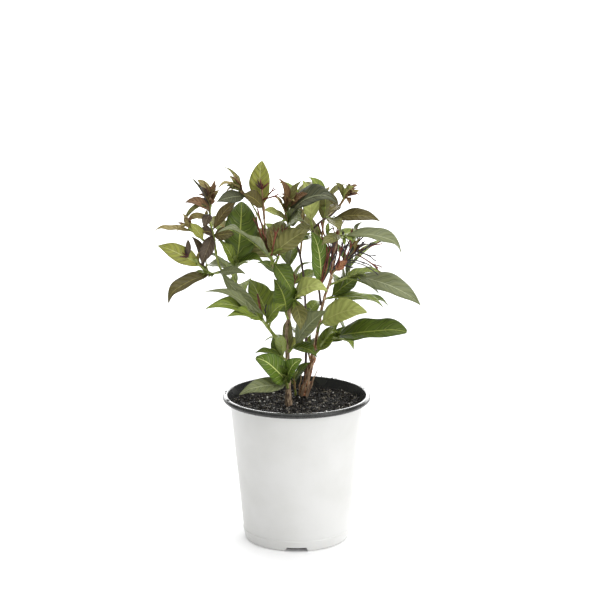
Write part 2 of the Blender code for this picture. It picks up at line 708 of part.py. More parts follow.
def cut_notch(pot, heading):
    """Cuts one drain notch, narrower above, through the foot of the pot's wall."""
    inner, outer = BASE_RADIUS - NOTCH_DEPTH, BASE_RADIUS + 4
    below, above = NOTCH_WIDTH_BELOW / 2, NOTCH_WIDTH_ABOVE / 2
    vertices = []
    for reach in (inner, outer):
        for across, height in ((-below, -1), (below, -1), (above, NOTCH_HEIGHT), (-above, NOTCH_HEIGHT)):
            corner = Vector((reach, across, height))
            vertices.append(Matrix.Rotation(math.radians(heading), 3, "Z") @ corner)
    faces = [(0, 3, 2, 1), (4, 5, 6, 7), (0, 1, 5, 4), (1, 2, 6, 5), (2, 3, 7, 6), (3, 0, 4, 7)]
    cutter = solid_object(f"notch_cutter_{heading:.0f}", (vertices, faces), "white_plastic")
    cutter.hide_render = True
    cutter.display_type = "WIRE"
    notch = pot.modifiers.new("notch", "BOOLEAN")
    notch.operation = "DIFFERENCE"
    notch.object = cutter


def make_soil():
    below = FLOOR + GAP
    low_radius = wall_radius(FLOOR + BASE_CORNER) - WALL - GAP
    outline = [(0, below), (BASE_RADIUS - BASE_CORNER - GAP, below), (low_radius, FLOOR + BASE_CORNER + GAP),
               (wall_radius(SOIL_TOP) - WALL - 2 * GAP, SOIL_TOP), (0, SOIL_TOP)]
    return turned_solid("soil", outline, "potting_mix")


def main():
    clear_scene()
    make_pot()
    make_soil()
    crown = Crown()
    for name, limb in LIMBS.items():
        solid_object(name, grow_limb(crown, name, limb), "bark").data.shade_smooth()
    routes = {name: grow_stem(crown, name, mass) for name, mass in MASSES.items()}
    for name, mass in MASSES.items():
        grow_shown_leaves(crown, name, mass, routes[name], random.Random(name))
    for name, mass in MASSES.items():
        chance = random.Random(name + " young")
        grow_pairs(crown, name, mass, routes[name], chance)
        grow_tuft(crown, name, mass, routes[name], chance)
    for name, mass in MASSES.items():
        fuse(name, crown.masses[name], mass["tint"])
    return crown


if __name__ == "__main__":
    main()
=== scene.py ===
import math
import random

import bmesh
import bpy
from mathutils import Matrix, Vector, noise
from mathutils.bvhtree import BVHTree


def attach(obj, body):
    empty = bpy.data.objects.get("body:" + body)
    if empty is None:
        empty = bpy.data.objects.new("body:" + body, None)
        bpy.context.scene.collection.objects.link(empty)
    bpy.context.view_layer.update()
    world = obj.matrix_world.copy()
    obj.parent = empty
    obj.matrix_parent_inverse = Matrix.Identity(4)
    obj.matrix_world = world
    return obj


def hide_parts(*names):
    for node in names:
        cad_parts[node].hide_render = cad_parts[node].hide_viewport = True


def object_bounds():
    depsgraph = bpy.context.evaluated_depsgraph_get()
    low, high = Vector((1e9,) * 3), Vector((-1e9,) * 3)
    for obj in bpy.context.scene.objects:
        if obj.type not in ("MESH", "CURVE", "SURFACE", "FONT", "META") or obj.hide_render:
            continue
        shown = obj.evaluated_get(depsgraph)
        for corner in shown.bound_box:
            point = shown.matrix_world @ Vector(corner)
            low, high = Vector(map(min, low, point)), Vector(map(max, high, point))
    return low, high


# Potted weigela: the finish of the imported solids.
# Lengths are in millimetres until a mesh is finished, angles in degrees. A heading is a compass
# angle from above (0 right, 90 back, 180 left, 270 front) and a rise is the angle above the level.

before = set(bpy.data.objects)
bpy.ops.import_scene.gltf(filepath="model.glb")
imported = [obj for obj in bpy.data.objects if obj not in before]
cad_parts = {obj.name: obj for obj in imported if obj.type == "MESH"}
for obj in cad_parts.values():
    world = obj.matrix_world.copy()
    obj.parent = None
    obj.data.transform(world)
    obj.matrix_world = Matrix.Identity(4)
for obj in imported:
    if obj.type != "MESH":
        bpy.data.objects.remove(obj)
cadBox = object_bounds()
scene = bpy.context.scene
mm = 0.001
turnAround = 6.28
up = Vector((0, 0, 1))
front = Vector((0, -1, 0))
print("frame loaded with", len(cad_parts), "solids")

# camera and light

view = dict(place=(2.76, -1700, 594.3), lookDown=13.06, lens=129.3, sensor=36)
light = dict(sky=0.28, top=2.5, topSpread=70, topFrom=(0.1, 0.05, 1.0),
             side=1.0, sideSpread=40, sideFrom=(0.80, -0.62, 0.40),
             stripPower=55, stripSize=(3.6, 0.8), stripPlace=(0.2, 2.2, 0.75), stripTarget=(0, 0, 0.15),
             paperGlow=0.10, floorHalf=12.0)


def hexColour(code):
    channels = [int(code[i:i + 2], 16) / 255 for i in (1, 3, 5)]
    return (*[c / 12.92 if c <= 0.04045 else ((c + 0.055) / 1.055) ** 2.4 for c in channels], 1)


def addNode(tree, kind, links=None, stops=None, output=0, **settings):
    # links gives an input, by name or number, a socket or a plain value; what comes back is one output
    node = tree.nodes.new("ShaderNode" + kind)
    for name, value in settings.items():
        setattr(node, name, value)
    for name, value in (links or {}).items():
        if isinstance(value, bpy.types.NodeSocket):
            tree.links.new(value, node.inputs[name])
        else:
            node.inputs[name].default_value = value
    if stops:
        ramp = node.color_ramp
        while len(ramp.elements) < len(stops):
            ramp.elements.new(0.5)
        for element, (place, colour) in zip(ramp.elements, stops):
            element.position = place
            element.color = hexColour(colour)
    return node.outputs[output]


def newMaterial(name, colour, roughness, ior=1.45):
    material = bpy.data.materials.new(name)
    material.use_nodes = True
    shader = material.node_tree.nodes["Principled BSDF"]
    shader.inputs["Base Color"].default_value = hexColour(colour)
    shader.inputs["Roughness"].default_value = roughness
    shader.inputs["IOR"].default_value = ior
    return material, material.node_tree, shader


def dress(tree, shader, colour=None, roughness=None, height=None, strength=0.5, relief=0.3):
    # relief is the height of the bumps in millimetres
    if colour:
        tree.links.new(colour, shader.inputs["Base Color"])
    if roughness:
        tree.links.new(roughness, shader.inputs["Roughness"])
    if height:
        bump = addNode(tree, "Bump", {"Height": height, "Strength": strength, "Distance": relief * mm})
        tree.links.new(bump, shader.inputs["Normal"])


def grain(sizeMm):
    # the texture scale that gives features of this size
    return 1 / (sizeMm * mm)


def mottled(name, colour, roughness, size, detail, stops, strength, relief, ior=1.45, shine=None, fine=None,
            stretch=None):
    # one noise gives the tone, and the bumps where no finer one does; shine is the roughness at its two ends
    material, tree, shader = newMaterial(name, colour, roughness, ior)
    place = addNode(tree, "TexCoord", output="Object")
    if stretch:
        place = addNode(tree, "Mapping", {"Vector": place, "Scale": (1.0, 1.0, stretch)})
    mottle = addNode(tree, "TexNoise", {"Vector": place, "Scale": grain(size), "Detail": detail})
    tone = addNode(tree, "ValToRGB", {"Fac": mottle}, stops=stops)
    gloss, bumps = None, mottle
    if shine:
        gloss = addNode(tree, "MapRange", {"Value": mottle, "To Min": shine[0], "To Max": shine[1]})
    if fine:
        bumps = addNode(tree, "TexNoise", {"Vector": place, "Scale": grain(fine[0]), "Detail": fine[1]})
    dress(tree, shader, tone, gloss, bumps, strength, relief)
    return material


# a matt crumb of one colour, with a mottle a tenth of a millimetre deep
def crumbMaterial(name, dark, pale, roughness):
    return mottled(name, pale, roughness, 1.3, 3.0, [(0.32, dark), (0.66, pale)], 0.6, 0.1)


# skin of a soft shoot or a dried stalk: thin, slightly waxy, with faint streaks along it
def shootSkin(name, dark, pale, roughness):
    return mottled(name, pale, roughness, 2.2, 3.0, [(0.36, dark), (0.62, pale)], 0.3, 0.08, stretch=0.3)


barkFinish = dict(streak=0.9, stretch=0.16, spots=2.6, bump=0.7)


# bark of a young woody stem: streaks along the stem, cracks, and corky spots
def stemBark(name, dark, middle, pale, roughness, relief):
    material, tree, shader = newMaterial(name, middle, roughness)
    place = addNode(tree, "TexCoord", output="Object")
    b = barkFinish
    streaky = addNode(tree, "Mapping", {"Vector": place, "Scale": (1.0, 1.0, b["stretch"])})
    streak = addNode(tree, "TexNoise", {"Vector": streaky, "Scale": grain(b["streak"]), "Detail": 5.0})
    spot = addNode(tree, "TexVoronoi", {"Vector": place, "Scale": grain(b["spots"])}, output="Distance")
    spotted = addNode(tree, "MapRange", {"Value": spot, "From Min": 0.10, "From Max": 0.22,
                                         "To Min": 0.22, "To Max": 0.0})
    mixed = addNode(tree, "Math", {0: streak, 1: spotted}, operation="ADD")
    tone = addNode(tree, "ValToRGB", {"Fac": mixed}, stops=[(0.34, dark), (0.52, middle), (0.70, pale)])
    dress(tree, shader, tone, None, mixed, b["bump"], relief)
    return material


# Every leaf takes one of these tints: blade, darker tone (blotches, margins, painted shade by the veins) and
# veins above, then blade and veins below.
leafTints = {
    "deepGreen": "#57691f #405117 #a8b355 #848b53 #c1c285",
    "green": "#88983d #67762e #cad484 #9aa46e #dae1af",
    "footGreen": "#677e2b #4c6523 #eff99a #909c5f #d4d899",
    "lime": "#9da048 #82833b #ccce85 #a4a663 #cfd09d",
    "oliveLime": "#b3bb6a #9ca357 #cacd81 #a1a66a #d4d6a0",
    "greyGreen": "#80865c #6b724e #b2b88f #909774 #bdc2a4",
    "slate": "#575940 #3e422f #9ca17c #7f8269 #b2b699",
    "olive": "#817f49 #686738 #a8a767 #84845a #b5b587",
    "darkOlive": "#665e33 #504827 #9e9452 #786e45 #a39a67",
    "bronze": "#aa9b63 #85794b #bead76 #9c875c #ccbc8b",
    "darkBronze": "#685c31 #4f4323 #988852 #7b6b47 #aa9b6a",
    "plum": "#5c4e3f #483c30 #8a7b5f #6e6152 #94876f",
    "redBronze": "#806444 #664b34 #a67a56 #835b45 #ab8965",
    "coral": "#cf9a66 #b45c60 #d2a070 #b0645c #c8906e",
}
leafFinish = dict(sideVeins=7.0, veinClimb=0.21, veinBend=1.25, midribWidth=0.075, sideVeinWidth=0.085,
                  veinStrength=0.45, underVeinStrength=0.32, midribDepth=0.8, cellSize=1.0, cellDepth=0.10,
                  driftSize=9, blotchSize=13, bump=0.55, underBump=0.35, relief=0.55,
                  gloss=0.46, underGloss=0.60, shine=0.36)


# one side of a leaf: a waxy upper side with sunken pale veins, or a duller lower side with raised ones
def leafSide(name, blade, shade, vein, roughness, isUpper):
    material, tree, shader = newMaterial(name, blade, roughness)
    f = leafFinish
    shader.inputs["Specular IOR Level"].default_value = f["shine"]
    uv = addNode(tree, "UVMap", uv_map="leafMap")
    acrossMap = addNode(tree, "SeparateXYZ", {0: uv})
    centred = addNode(tree, "Math", {0: acrossMap, 1: 2.0, 2: -1.0}, operation="MULTIPLY_ADD")
    across = addNode(tree, "Math", {0: centred}, operation="ABSOLUTE")
    climb = addNode(tree, "Math", {0: across, 1: f["veinBend"]}, operation="POWER")
    alongMap = acrossMap.node.outputs[1]
    start = addNode(tree, "Math", {0: climb, 1: -f["veinClimb"], 2: alongMap}, operation="MULTIPLY_ADD")
    place = addNode(tree, "TexCoord", output="Object")
    drift = addNode(tree, "TexNoise", {"Vector": place, "Scale": grain(f["driftSize"]), "Detail": 2.0})
    counted = addNode(tree, "Math", {0: start, 1: f["sideVeins"], 2: drift}, operation="MULTIPLY_ADD")
    part = addNode(tree, "Math", {0: counted}, operation="FRACT")
    offset = addNode(tree, "Math", {0: part, 1: 0.5}, operation="SUBTRACT")
    away = addNode(tree, "Math", {0: offset}, operation="ABSOLUTE")
    strength = f["veinStrength"] if isUpper else f["underVeinStrength"]
    sideVein = addNode(tree, "MapRange", {"Value": away, "From Min": 0.0, "From Max": f["sideVeinWidth"],
                                          "To Min": strength, "To Max": 0.0},
                       interpolation_type="SMOOTHSTEP")
    fade = addNode(tree, "MapRange", {"Value": across, "From Min": 0.45, "From Max": 0.95,
                                      "To Min": 1.0, "To Max": 0.15})
    faded = addNode(tree, "Math", {0: sideVein, 1: fade}, operation="MULTIPLY")
    midrib = addNode(tree, "MapRange", {"Value": across, "From Min": 0.0, "From Max": f["midribWidth"],
                                        "To Min": 1.0, "To Max": 0.0},
                     interpolation_type="SMOOTHSTEP")
    veins = addNode(tree, "Math", {0: midrib, 1: faded}, operation="MAXIMUM")
    blotch = addNode(tree, "TexNoise", {"Vector": place, "Scale": grain(f["blotchSize"]), "Detail": 3.0})
    # painted shade: the colour darkens towards each side vein, into the furrows between the swellings of the
    # upper side; the under side takes the same darkening beside its raised veins
    swell = addNode(tree, "MapRange", {"Value": away, "From Min": 0.0, "From Max": 0.45},
                    interpolation_type="SMOOTHSTEP")
    blotchAndPaintedShade = addNode(tree, "Math", {0: blotch, 1: swell}, operation="ADD")
    margin = addNode(tree, "MapRange", {"Value": across, "From Min": 0.55, "From Max": 1.0, "To Min": 0.0,
                                        "To Max": -0.45})
    toned = addNode(tree, "Math", {0: blotchAndPaintedShade, 1: margin}, operation="ADD")
    tone = addNode(tree, "MapRange", {"Value": toned, "From Min": 0.45, "From Max": 1.35})
    between = addNode(tree, "Mix", {"Factor": tone, 6: hexColour(shade), 7: hexColour(blade)}, output=2,
                      data_type="RGBA")
    veined = addNode(tree, "Mix", {"Factor": veins, 6: between, 7: hexColour(vein)}, output=2,
                     data_type="RGBA")
    net = addNode(tree, "TexVoronoi", {"Vector": place, "Scale": grain(f["cellSize"])}, output="Distance")
    fine = addNode(tree, "Math", {0: net, 1: f["cellDepth"], 2: swell}, operation="MULTIPLY_ADD")
    depth = -f["midribDepth"] if isUpper else f["midribDepth"]
    sunk = addNode(tree, "Math", {0: midrib, 1: depth, 2: fine}, operation="MULTIPLY_ADD")
    height = sunk if isUpper else addNode(tree, "Math", {0: 1.0, 1: sunk}, operation="SUBTRACT")
    bump = f["bump"] if isUpper else f["underBump"]
    dress(tree, shader, veined, None, height, bump, f["relief"])
    return material


print("finishes ready")

# building pieces


def pour(form, whole):
    # adds one small shape to the mesh of a whole piece
    mesh = bpy.data.meshes.new("part")
    form.to_mesh(mesh)
    form.free()
    whole.from_mesh(mesh)
    bpy.data.meshes.remove(mesh)


def makeObject(name, form, materials, scale=mm):
    # puts a shape in millimetres into the scene as an object
    bmesh.ops.scale(form, vec=(scale, scale, scale), verts=form.verts)
    mesh = bpy.data.meshes.new(name)
    form.to_mesh(mesh)
    form.free()
    for material in materials:
        mesh.materials.append(material)
    made = bpy.data.objects.new(name, mesh)
    scene.collection.objects.link(made)
    return made


def finishPiece(name, whole, materials, nodes, sharpAngle=None):
    piece = makeObject(name, whole, materials)
    piece.data.shade_smooth()
    if sharpAngle:
        piece.data.set_sharp_from_angle(angle=math.radians(sharpAngle))
    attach(piece, "root")
    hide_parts(*nodes)
    print(f"{name}: {len(piece.data.polygons)} faces")
    return piece


def compass(heading, rise):
    turn, lift = math.radians(heading), math.radians(rise)
    level = math.cos(lift)
    return Vector((math.cos(turn) * level, math.sin(turn) * level, math.sin(lift)))


def toCompass(vector):
    return math.degrees(math.atan2(vector.y, vector.x)), math.degrees(math.asin(vector.z / vector.length))


def squareTo(vector, axis):
    flat = vector - axis * vector.dot(axis)
    if flat.length < 1e-3:
        flat = axis.orthogonal()
    return flat.normalized()


def smoothRoute(start, runs, spacing):
    # points on a smooth curve through the ends of the runs
    corners = [Vector(start)]
    for heading, rise, length in runs:
        corners.append(corners[-1] + compass(heading, rise) * length)
    ends = [2 * corners[0] - corners[1]] + corners + [2 * corners[-1] - corners[-2]]
    points = [corners[0]]
    for a, b, c, d in zip(ends, ends[1:], ends[2:], ends[3:]):
        steps = max(1, round((c - b).length / spacing))
        for k in range(1, steps + 1):
            t = k / steps
            points.append(0.5 * (2 * b + (c - a) * t + (2 * a - 5 * b + 4 * c - d) * t ** 2
                                 + (3 * b - a - 3 * c + d) * t ** 3))
    return points


def placeOn(route, share):
    lengths = [(b - a).length for a, b in zip(route, route[1:])]
    left = share * sum(lengths)
    for i, length in enumerate(lengths):
        if left <= length or i == len(lengths) - 1:
            return i, min(1.0, left / length)
        left -= length


def along(route, share):
    i, part = placeOn(route, share)
    step = route[i + 1] - route[i]
    return route[i] + step * part, step.normalized()


def radiusAlong(route, radii, share):
    i, part = placeOn(route, share)
    return radii[i] + (radii[i + 1] - radii[i]) * part


def shareAtHeight(route, height, steps=200):
    for k in range(steps + 1):
        if along(route, k / steps)[0].z >= height:
            return k / steps
    return 1.0


def routeLength(route):
    return sum((b - a).length for a, b in zip(route, route[1:]))


def spacedOut(route, radii, spacing, fewest):
    # the same route and radii, with a ring at every so many millimetres
    count = max(fewest, round(routeLength(route) / spacing))
    shares = [k / count for k in range(count + 1)]
    points = [along(route, share)[0] for share in shares]
    return points, [radiusAlong(route, radii, share) for share in shares]


def ringAround(direction, across, sides):
    # the ways out from a line to the corners of a ring
    other = direction.cross(across)
    angles = [2 * math.pi * k / sides for k in range(sides)]
    return [across * math.cos(angle) + other * math.sin(angle) for angle in angles]


def ringsAlong(route, sides):
    # the same for each point of a route, without a twist from one to the next, after the way along it
    across = squareTo(Vector((1, 0.2, 0)), (route[1] - route[0]).normalized())
    for i in range(len(route)):
        direction = (route[min(i + 1, len(route) - 1)] - route[max(i - 1, 0)]).normalized()
        across = squareTo(across, direction)
        yield direction, ringAround(direction, across, sides)


def sweep(route, radii, sides, swell=None, material=0):
    # a flat cap, extruded ring by ring along the route; swell(point, outward) adds to the radius
    form = bmesh.new()
    bmesh.ops.create_circle(form, cap_ends=True, segments=sides, radius=1.0)
    cap = list(form.faces)[0]
    for i, (direction, ring) in enumerate(ringsAlong(route, sides)):
        if i:
            below = cap
            grown = bmesh.ops.extrude_face_region(form, geom=[below])["geom"]
            cap = [item for item in grown if isinstance(item, bmesh.types.BMFace)][0]
            if i > 1:
                bmesh.ops.delete(form, geom=[below], context="FACES_ONLY")
        for corner, outward in zip(list(cap.verts), ring):
            corner.co = route[i] + outward * (radii[i] + (swell(route[i], outward) if swell else 0.0))
    bmesh.ops.recalc_face_normals(form, faces=form.faces)
    for face in form.faces:
        face.material_index = material
    return form


# pot

pot = dict(height=121.0, rimRadius=60.5, lipInner=56.6, lipHeight=4.2, lipEdge=0.8, underLip=0.6,
           wallTop=54.6, base=43.0, baseCorner=2.4, wall=1.2, floor=1.4, middle=60,
           footBand=9.0, bandStep=0.4, bandEdge=0.3, steps=160, sharpAngle=32,
           notches=3, notchBelow=20.0, notchAbove=16.0, notchHeight=3.4, notchDepth=7.0, notchReach=4)


def wallRadius(height):
    return pot["base"] + (pot["wallTop"] - pot["base"]) * height / (pot["height"] - pot["lipHeight"])


def arc(centre, radius, start, end, steps):
    angles = [math.radians(start + (end - start) * k / steps) for k in range(steps + 1)]
    return [(centre[0] + radius * math.cos(a), centre[1] + radius * math.sin(a)) for a in angles]


def buildPot(white, black):
    p = pot
    lipFoot, roll = p["height"] - p["lipHeight"], p["lipHeight"] / 2
    outline = [(0, 0)]
    outline += arc((p["base"] - p["baseCorner"], p["baseCorner"]), p["baseCorner"], -90, 0, 8)
    band = wallRadius(p["footBand"])
    outline += [(band + p["bandStep"], p["footBand"] - p["bandEdge"]),
                (band + p["bandStep"] * 0.7, p["footBand"]),
                (band, p["footBand"] + p["bandStep"]),
                (wallRadius(p["middle"]), p["middle"]), (wallRadius(lipFoot), lipFoot - p["underLip"])]
    outline += arc((p["rimRadius"] - roll, p["height"] - roll), roll, -90, 90, 18)
    outline += arc((p["lipInner"] + p["lipEdge"], p["height"] - p["lipEdge"]), p["lipEdge"], 90, 180, 4)
    outline += [(wallRadius(soil["top"]) - p["wall"], soil["top"] + 1.0),
                (wallRadius(p["floor"] + p["baseCorner"]) - p["wall"], p["floor"] + p["baseCorner"]),
                (p["base"] - p["baseCorner"], p["floor"]), (0, p["floor"])]
    form = bmesh.new()
    corners = [form.verts.new((radius, 0, height)) for radius, height in outline]
    edges = [form.edges.new(pair) for pair in zip(corners, corners[1:])]
    bmesh.ops.spin(form, geom=corners + edges, cent=(0, 0, 0), axis=(0, 0, 1), angle=2 * math.pi,
                   steps=p["steps"], use_merge=True)
    bmesh.ops.remove_doubles(form, verts=form.verts, dist=0.001)
    bmesh.ops.recalc_face_normals(form, faces=form.faces)
    for face in form.faces:
        middle = face.calc_center_median()
        isOutside = face.normal.xy.dot(middle.xy) > 0 or face.normal.z < -0.5
        face.material_index = 0 if isOutside and middle.z < lipFoot - p["underLip"] / 2 else 1
    uncut = makeObject("uncutPot", form, (white, black))
    cutters = [cutNotch(uncut, 270 + 360 * i / p["notches"], white) for i in range(p["notches"])]
    ready = bpy.data.meshes.new_from_object(uncut.evaluated_get(bpy.context.evaluated_depsgraph_get()))
    form = bmesh.new()
    form.from_mesh(ready)
    bmesh.ops.scale(form, vec=(1 / mm, 1 / mm, 1 / mm), verts=form.verts)
    for item in [uncut] + cutters:
        bpy.data.objects.remove(item, do_unlink=True)
    finishPiece("pot_shell", form, (white, black), ["pot"], p["sharpAngle"])


def cutNotch(uncut, heading, white):
    # a drain notch through the foot of the wall, narrower above
    p = pot
    form = bmesh.new()
    corners = bmesh.ops.create_cube(form, size=1.0)["verts"]
    for corner in corners:
        above = corner.co.z > 0
        reach = p["base"] + (p["notchReach"] if corner.co.x > 0 else -p["notchDepth"])
        width = p["notchAbove"] if above else p["notchBelow"]
        corner.co = Vector((reach, corner.co.y * width, p["notchHeight"] if above else -1.0))
    turned = Matrix.Rotation(math.radians(heading), 3, "Z")
    bmesh.ops.rotate(form, cent=(0, 0, 0), matrix=turned, verts=form.verts)
    cutter = makeObject("notch", form, (white,))
    cut = uncut.modifiers.new("notch", "BOOLEAN")
    cut.operation, cut.object, cut.material_mode = "DIFFERENCE", cutter, "TRANSFER"
    return cutter


# soil

soil = dict(top=113.2, gap=0.3, wallGap=0.1, cells=150, lump=11.0, softness=0.9, finer=2.1, layers=4,
            relief=1.5, lowest=-1.6, highest=2.2, sunk=0.4, dish=1.4, heap=1.3, heapSpread=30)
# onRim lists the heading and the number of crumbs in each group on the pot's rim; a size is a radius: the
# least, what chance adds, and the power that makes most of them small
crumb = dict(seed=7, wallGap=0.8, batches=20, perBatch=130, size=(0.35, 1.1, 2.4), kinds=(74, 21, 5),
             stretch=(1.0, 1.6), bedded=0.3,
             chips=150, chipSize=(0.25, 0.5), chipStretch=(4, 11), chipLift=0.35,
             onRim=[(196, 5), (172, 3), (62, 4), (74, 3), (20, 2), (300, 1)], rimSwing=7, rimInset=(1.4, 2.6),
             rimSize=(0.35, 0.75), rimStretch=1.3, sharpAngle=20)
grainShape = dict(width=(0.6, 1.0), height=(0.5, 0.9), ragged=(0.72, 1.15))
perlite = dict(count=90, size=(0.35, 0.9, 1.8), stretch=(1.0, 1.3), bedded=0.4)


def soilHeight(x, y):
    # the lie of the surface: lumpy, a little higher towards the wall, and heaped at the stems' feet
    s = soil
    lumps = noise.fractal(Vector((x, y, 0)) / s["lump"], s["softness"], s["finer"], s["layers"]) * s["relief"]
    lumps = max(s["lowest"], min(s["highest"], lumps))
    edge = min(1.0, math.hypot(x, y) / wallRadius(s["top"]))
    feet = [limb["foot"] for limb in limbs.values() if "foot" in limb]
    heap = sum(s["heap"] * math.exp(-((x - foot[0]) ** 2 + (y - foot[1]) ** 2) / s["heapSpread"])
               for foot in feet)
    return s["top"] + lumps * (1 - edge ** 8) + s["dish"] * edge ** 4 - s["sunk"] + heap


def buildSoil(material):
    s = soil
    rim = wallRadius(s["top"]) - pot["wall"] - s["wallGap"]
    form = bmesh.new()
    bmesh.ops.create_grid(form, x_segments=s["cells"], y_segments=s["cells"], size=1.0)
    for corner in form.verts:
        x, y = corner.co.x, corner.co.y
        x, y = rim * x * math.sqrt(1 - y * y / 2), rim * y * math.sqrt(1 - x * x / 2)
        corner.co = Vector((x, y, soilHeight(x, y)))
    border = [edge for edge in form.edges if edge.is_boundary]
    low = pot["floor"] + s["gap"]
    lowScale = (pot["base"] - pot["baseCorner"] - s["gap"]) / rim
    grown = bmesh.ops.extrude_edge_only(form, edges=border)["geom"]
    ring = [item for item in grown if isinstance(item, bmesh.types.BMVert)]
    for corner in ring:
        corner.co = Vector((corner.co.x * lowScale, corner.co.y * lowScale, low))
    bmesh.ops.contextual_create(form, geom=[item for item in grown if isinstance(item, bmesh.types.BMEdge)])
    bmesh.ops.recalc_face_normals(form, faces=form.faces)
    finishPiece("soil_block", form, (material,), ["soil"])


def scatter(form, place, size, chance, stretch, material):
    # one angular crumb, bedded in the surface
    angle = chance.uniform(0, turnAround)
    turn = Matrix.Rotation(angle, 4, Vector((chance.gauss(0, 1), chance.gauss(0, 1), 1)))
    width, height = chance.uniform(*grainShape["width"]), chance.uniform(*grainShape["height"])
    shape = Matrix.Diagonal((size * stretch, size * width, size * height, 1))
    made = bmesh.ops.create_icosphere(form, subdivisions=1, radius=1.0)["verts"]
    for corner in made:
        corner.co *= chance.uniform(*grainShape["ragged"])
    bmesh.ops.transform(form, matrix=Matrix.Translation(place) @ turn @ shape, verts=made)
    for face in {face for corner in made for face in corner.link_faces}:
        face.material_index = material


def buildCrumbs(materials, grains):
    c = crumb
    chance = random.Random(c["seed"])
    rim = wallRadius(soil["top"]) - pot["wall"] - c["wallGap"]

    def onSurface(lift):
        turn, reach = chance.uniform(0, 2 * math.pi), rim * math.sqrt(chance.random())
        x, y = reach * math.cos(turn), reach * math.sin(turn)
        return Vector((x, y, soilHeight(x, y) + lift))

    def someSize(least, more, power):
        return least + more * chance.random() ** power

    whole = bmesh.new()
    for batch in range(c["batches"]):
        form = bmesh.new()
        for k in range(c["perBatch"]):
            size = someSize(*c["size"])
            kind = chance.choices((0, 1, 2), c["kinds"])[0]
            scatter(form, onSurface(size * c["bedded"]), size, chance, chance.uniform(*c["stretch"]), kind)
        pour(form, whole)
    form = bmesh.new()
    for k in range(c["chips"]):
        scatter(form, onSurface(c["chipLift"]), chance.uniform(*c["chipSize"]), chance,
                chance.uniform(*c["chipStretch"]), 2)
    for heading, count in c["onRim"]:
        for k in range(count):
            turn = math.radians(heading + chance.uniform(-c["rimSwing"], c["rimSwing"]))
            reach = pot["rimRadius"] - chance.uniform(*c["rimInset"])
            size = chance.uniform(*c["rimSize"])
            place = Vector((reach * math.cos(turn), reach * math.sin(turn),
                            pot["height"] + size * c["bedded"]))
            scatter(form, place, size, chance, c["rimStretch"], 0)
    pour(form, whole)
    finishPiece("soil_crumbs", whole, materials, ["soil"], c["sharpAngle"])
    form = bmesh.new()
    for k in range(perlite["count"]):
        size = someSize(*perlite["size"])
        scatter(form, onSurface(size * perlite["bedded"]), size, chance,
                chance.uniform(*perlite["stretch"]), 0)
    finishPiece("perlite_grains", form, (grains,), ["soil"])


# limbs and masses: the same table and the same rule as the solids, so every leaf grows where its solid is

growth = dict(gap=0.3, limbRings=9.0, twigRings=13.0, limbSides=8, twigSides=4, stemRadius=0.95, tipRadius=0.7,
              flare=0.45, flareHeight=7.0, footHeight=113.5, leafWidth=0.39, leafStalk=0.07, stalkHalf=0.55,
              thickness=0.8, thicknessShare=0.012, fold=14.0, arch=28.0, stations=(0.18, 0.42, 0.66, 0.87),
              light=Vector((0, -0.4, 1)), stemPull=0.5, pairTurn=90.0, nudges=(0, 9, -9, 18, -18, 27, -27),
              lifts=(0, 10, -10), shorter=(1.0, 0.86, 0.72), pairOpening=68.0, pairClosing=34.0, pairDroop=6.0,
              pairGrowth=1.08, pairShrink=0.35, youngWidth=0.36, budTurn=137.5, budRadius=0.75,
              budLengths=(6.0, 10.5), stalkRadii=(0.6, 0.5, 0.55), stalkFork=0.62, lobeRadius=0.7,
              lobeLengths=(0.30, 0.40), lobeSpread=(0.18, 0.42), tiltSwing=6, pairSwing=14, pairWobble=8,
              pairLengths=(0.88, 1.12), pairTilt=10, pairArch=(-8, 14), tuftOpening=(16, 44), tuftSwing=15,
              tuftLengths=(0.75, 1.2), tuftArch=(10, 50), tuftTints="redBronze bronze", budOpening=(8, 62),
              budShape=((0.0, 0.55), (0.4, 1.0)), outlinePower=0.92, outlineFullness=0.85, narrowing=0.30,
              narrowFrom=0.72)

# a run is (heading, rise, length); a limb starts on the soil or on another limb, at a height above the floor

limbs = {
    "stem_left": dict(bark="tan", foot=(-6.5, -9), thick=2.8, thin=1.9,
                      runs=[(110, 86, 16), (101, 85, 48), (50, 78, 13)]),
    "stem_right": dict(bark="flaky", foot=(5, 17.5), thick=2.1, thin=1.3,
                       runs=[(342, 76, 39), (328, 79, 41), (335, 72, 26)]),
    "stem_middle": dict(bark="dark", foot=(4.5, 24.5), thick=1.4, thin=0.9,
                        runs=[(330, 83, 29), (262, 83, 64), (222, 79, 34), (205, 66, 22)]),
    "stem_low": dict(bark="green", foot=(-0.5, 17.5), thick=1.1, thin=0.8, runs=[(248, 72, 9)]),
    "bough_left": dict(bark="green", on="stem_left", height=157, thick=1.7, thin=1.0,
                       runs=[(200, 54, 27), (198, 53, 35), (194, 52, 28), (165, 80, 22)]),
    "stub_left": dict(bark="red", on="bough_left", height=186, thick=1.2, thin=0.9, runs=[(150, 78, 18)]),
    "bough_centre": dict(bark="tan", on="stem_left", height="tip", thick=1.6, thin=0.9,
                         runs=[(309, 74, 13), (218, 62, 17), (204, 55, 17), (159, 74, 21), (120, 80, 18)]),
    "bough_top_left": dict(bark="green", on="bough_centre", height=258, thick=0.9, thin=0.7,
                           runs=[(185, 66, 16), (190, 60, 10)]),
    "bough_right": dict(bark="flaky", on="stem_right", height="tip", thick=1.2, thin=0.8,
                        runs=[(302, 78, 19), (312, 74, 20), (305, 74, 9)]),
    "bough_upper_right": dict(bark="dark", on="stem_right", height=190, thick=1.1, thin=0.8,
                              runs=[(119, 74, 34), (128, 84, 28), (350, 38, 19), (340, 46, 8)]),
}

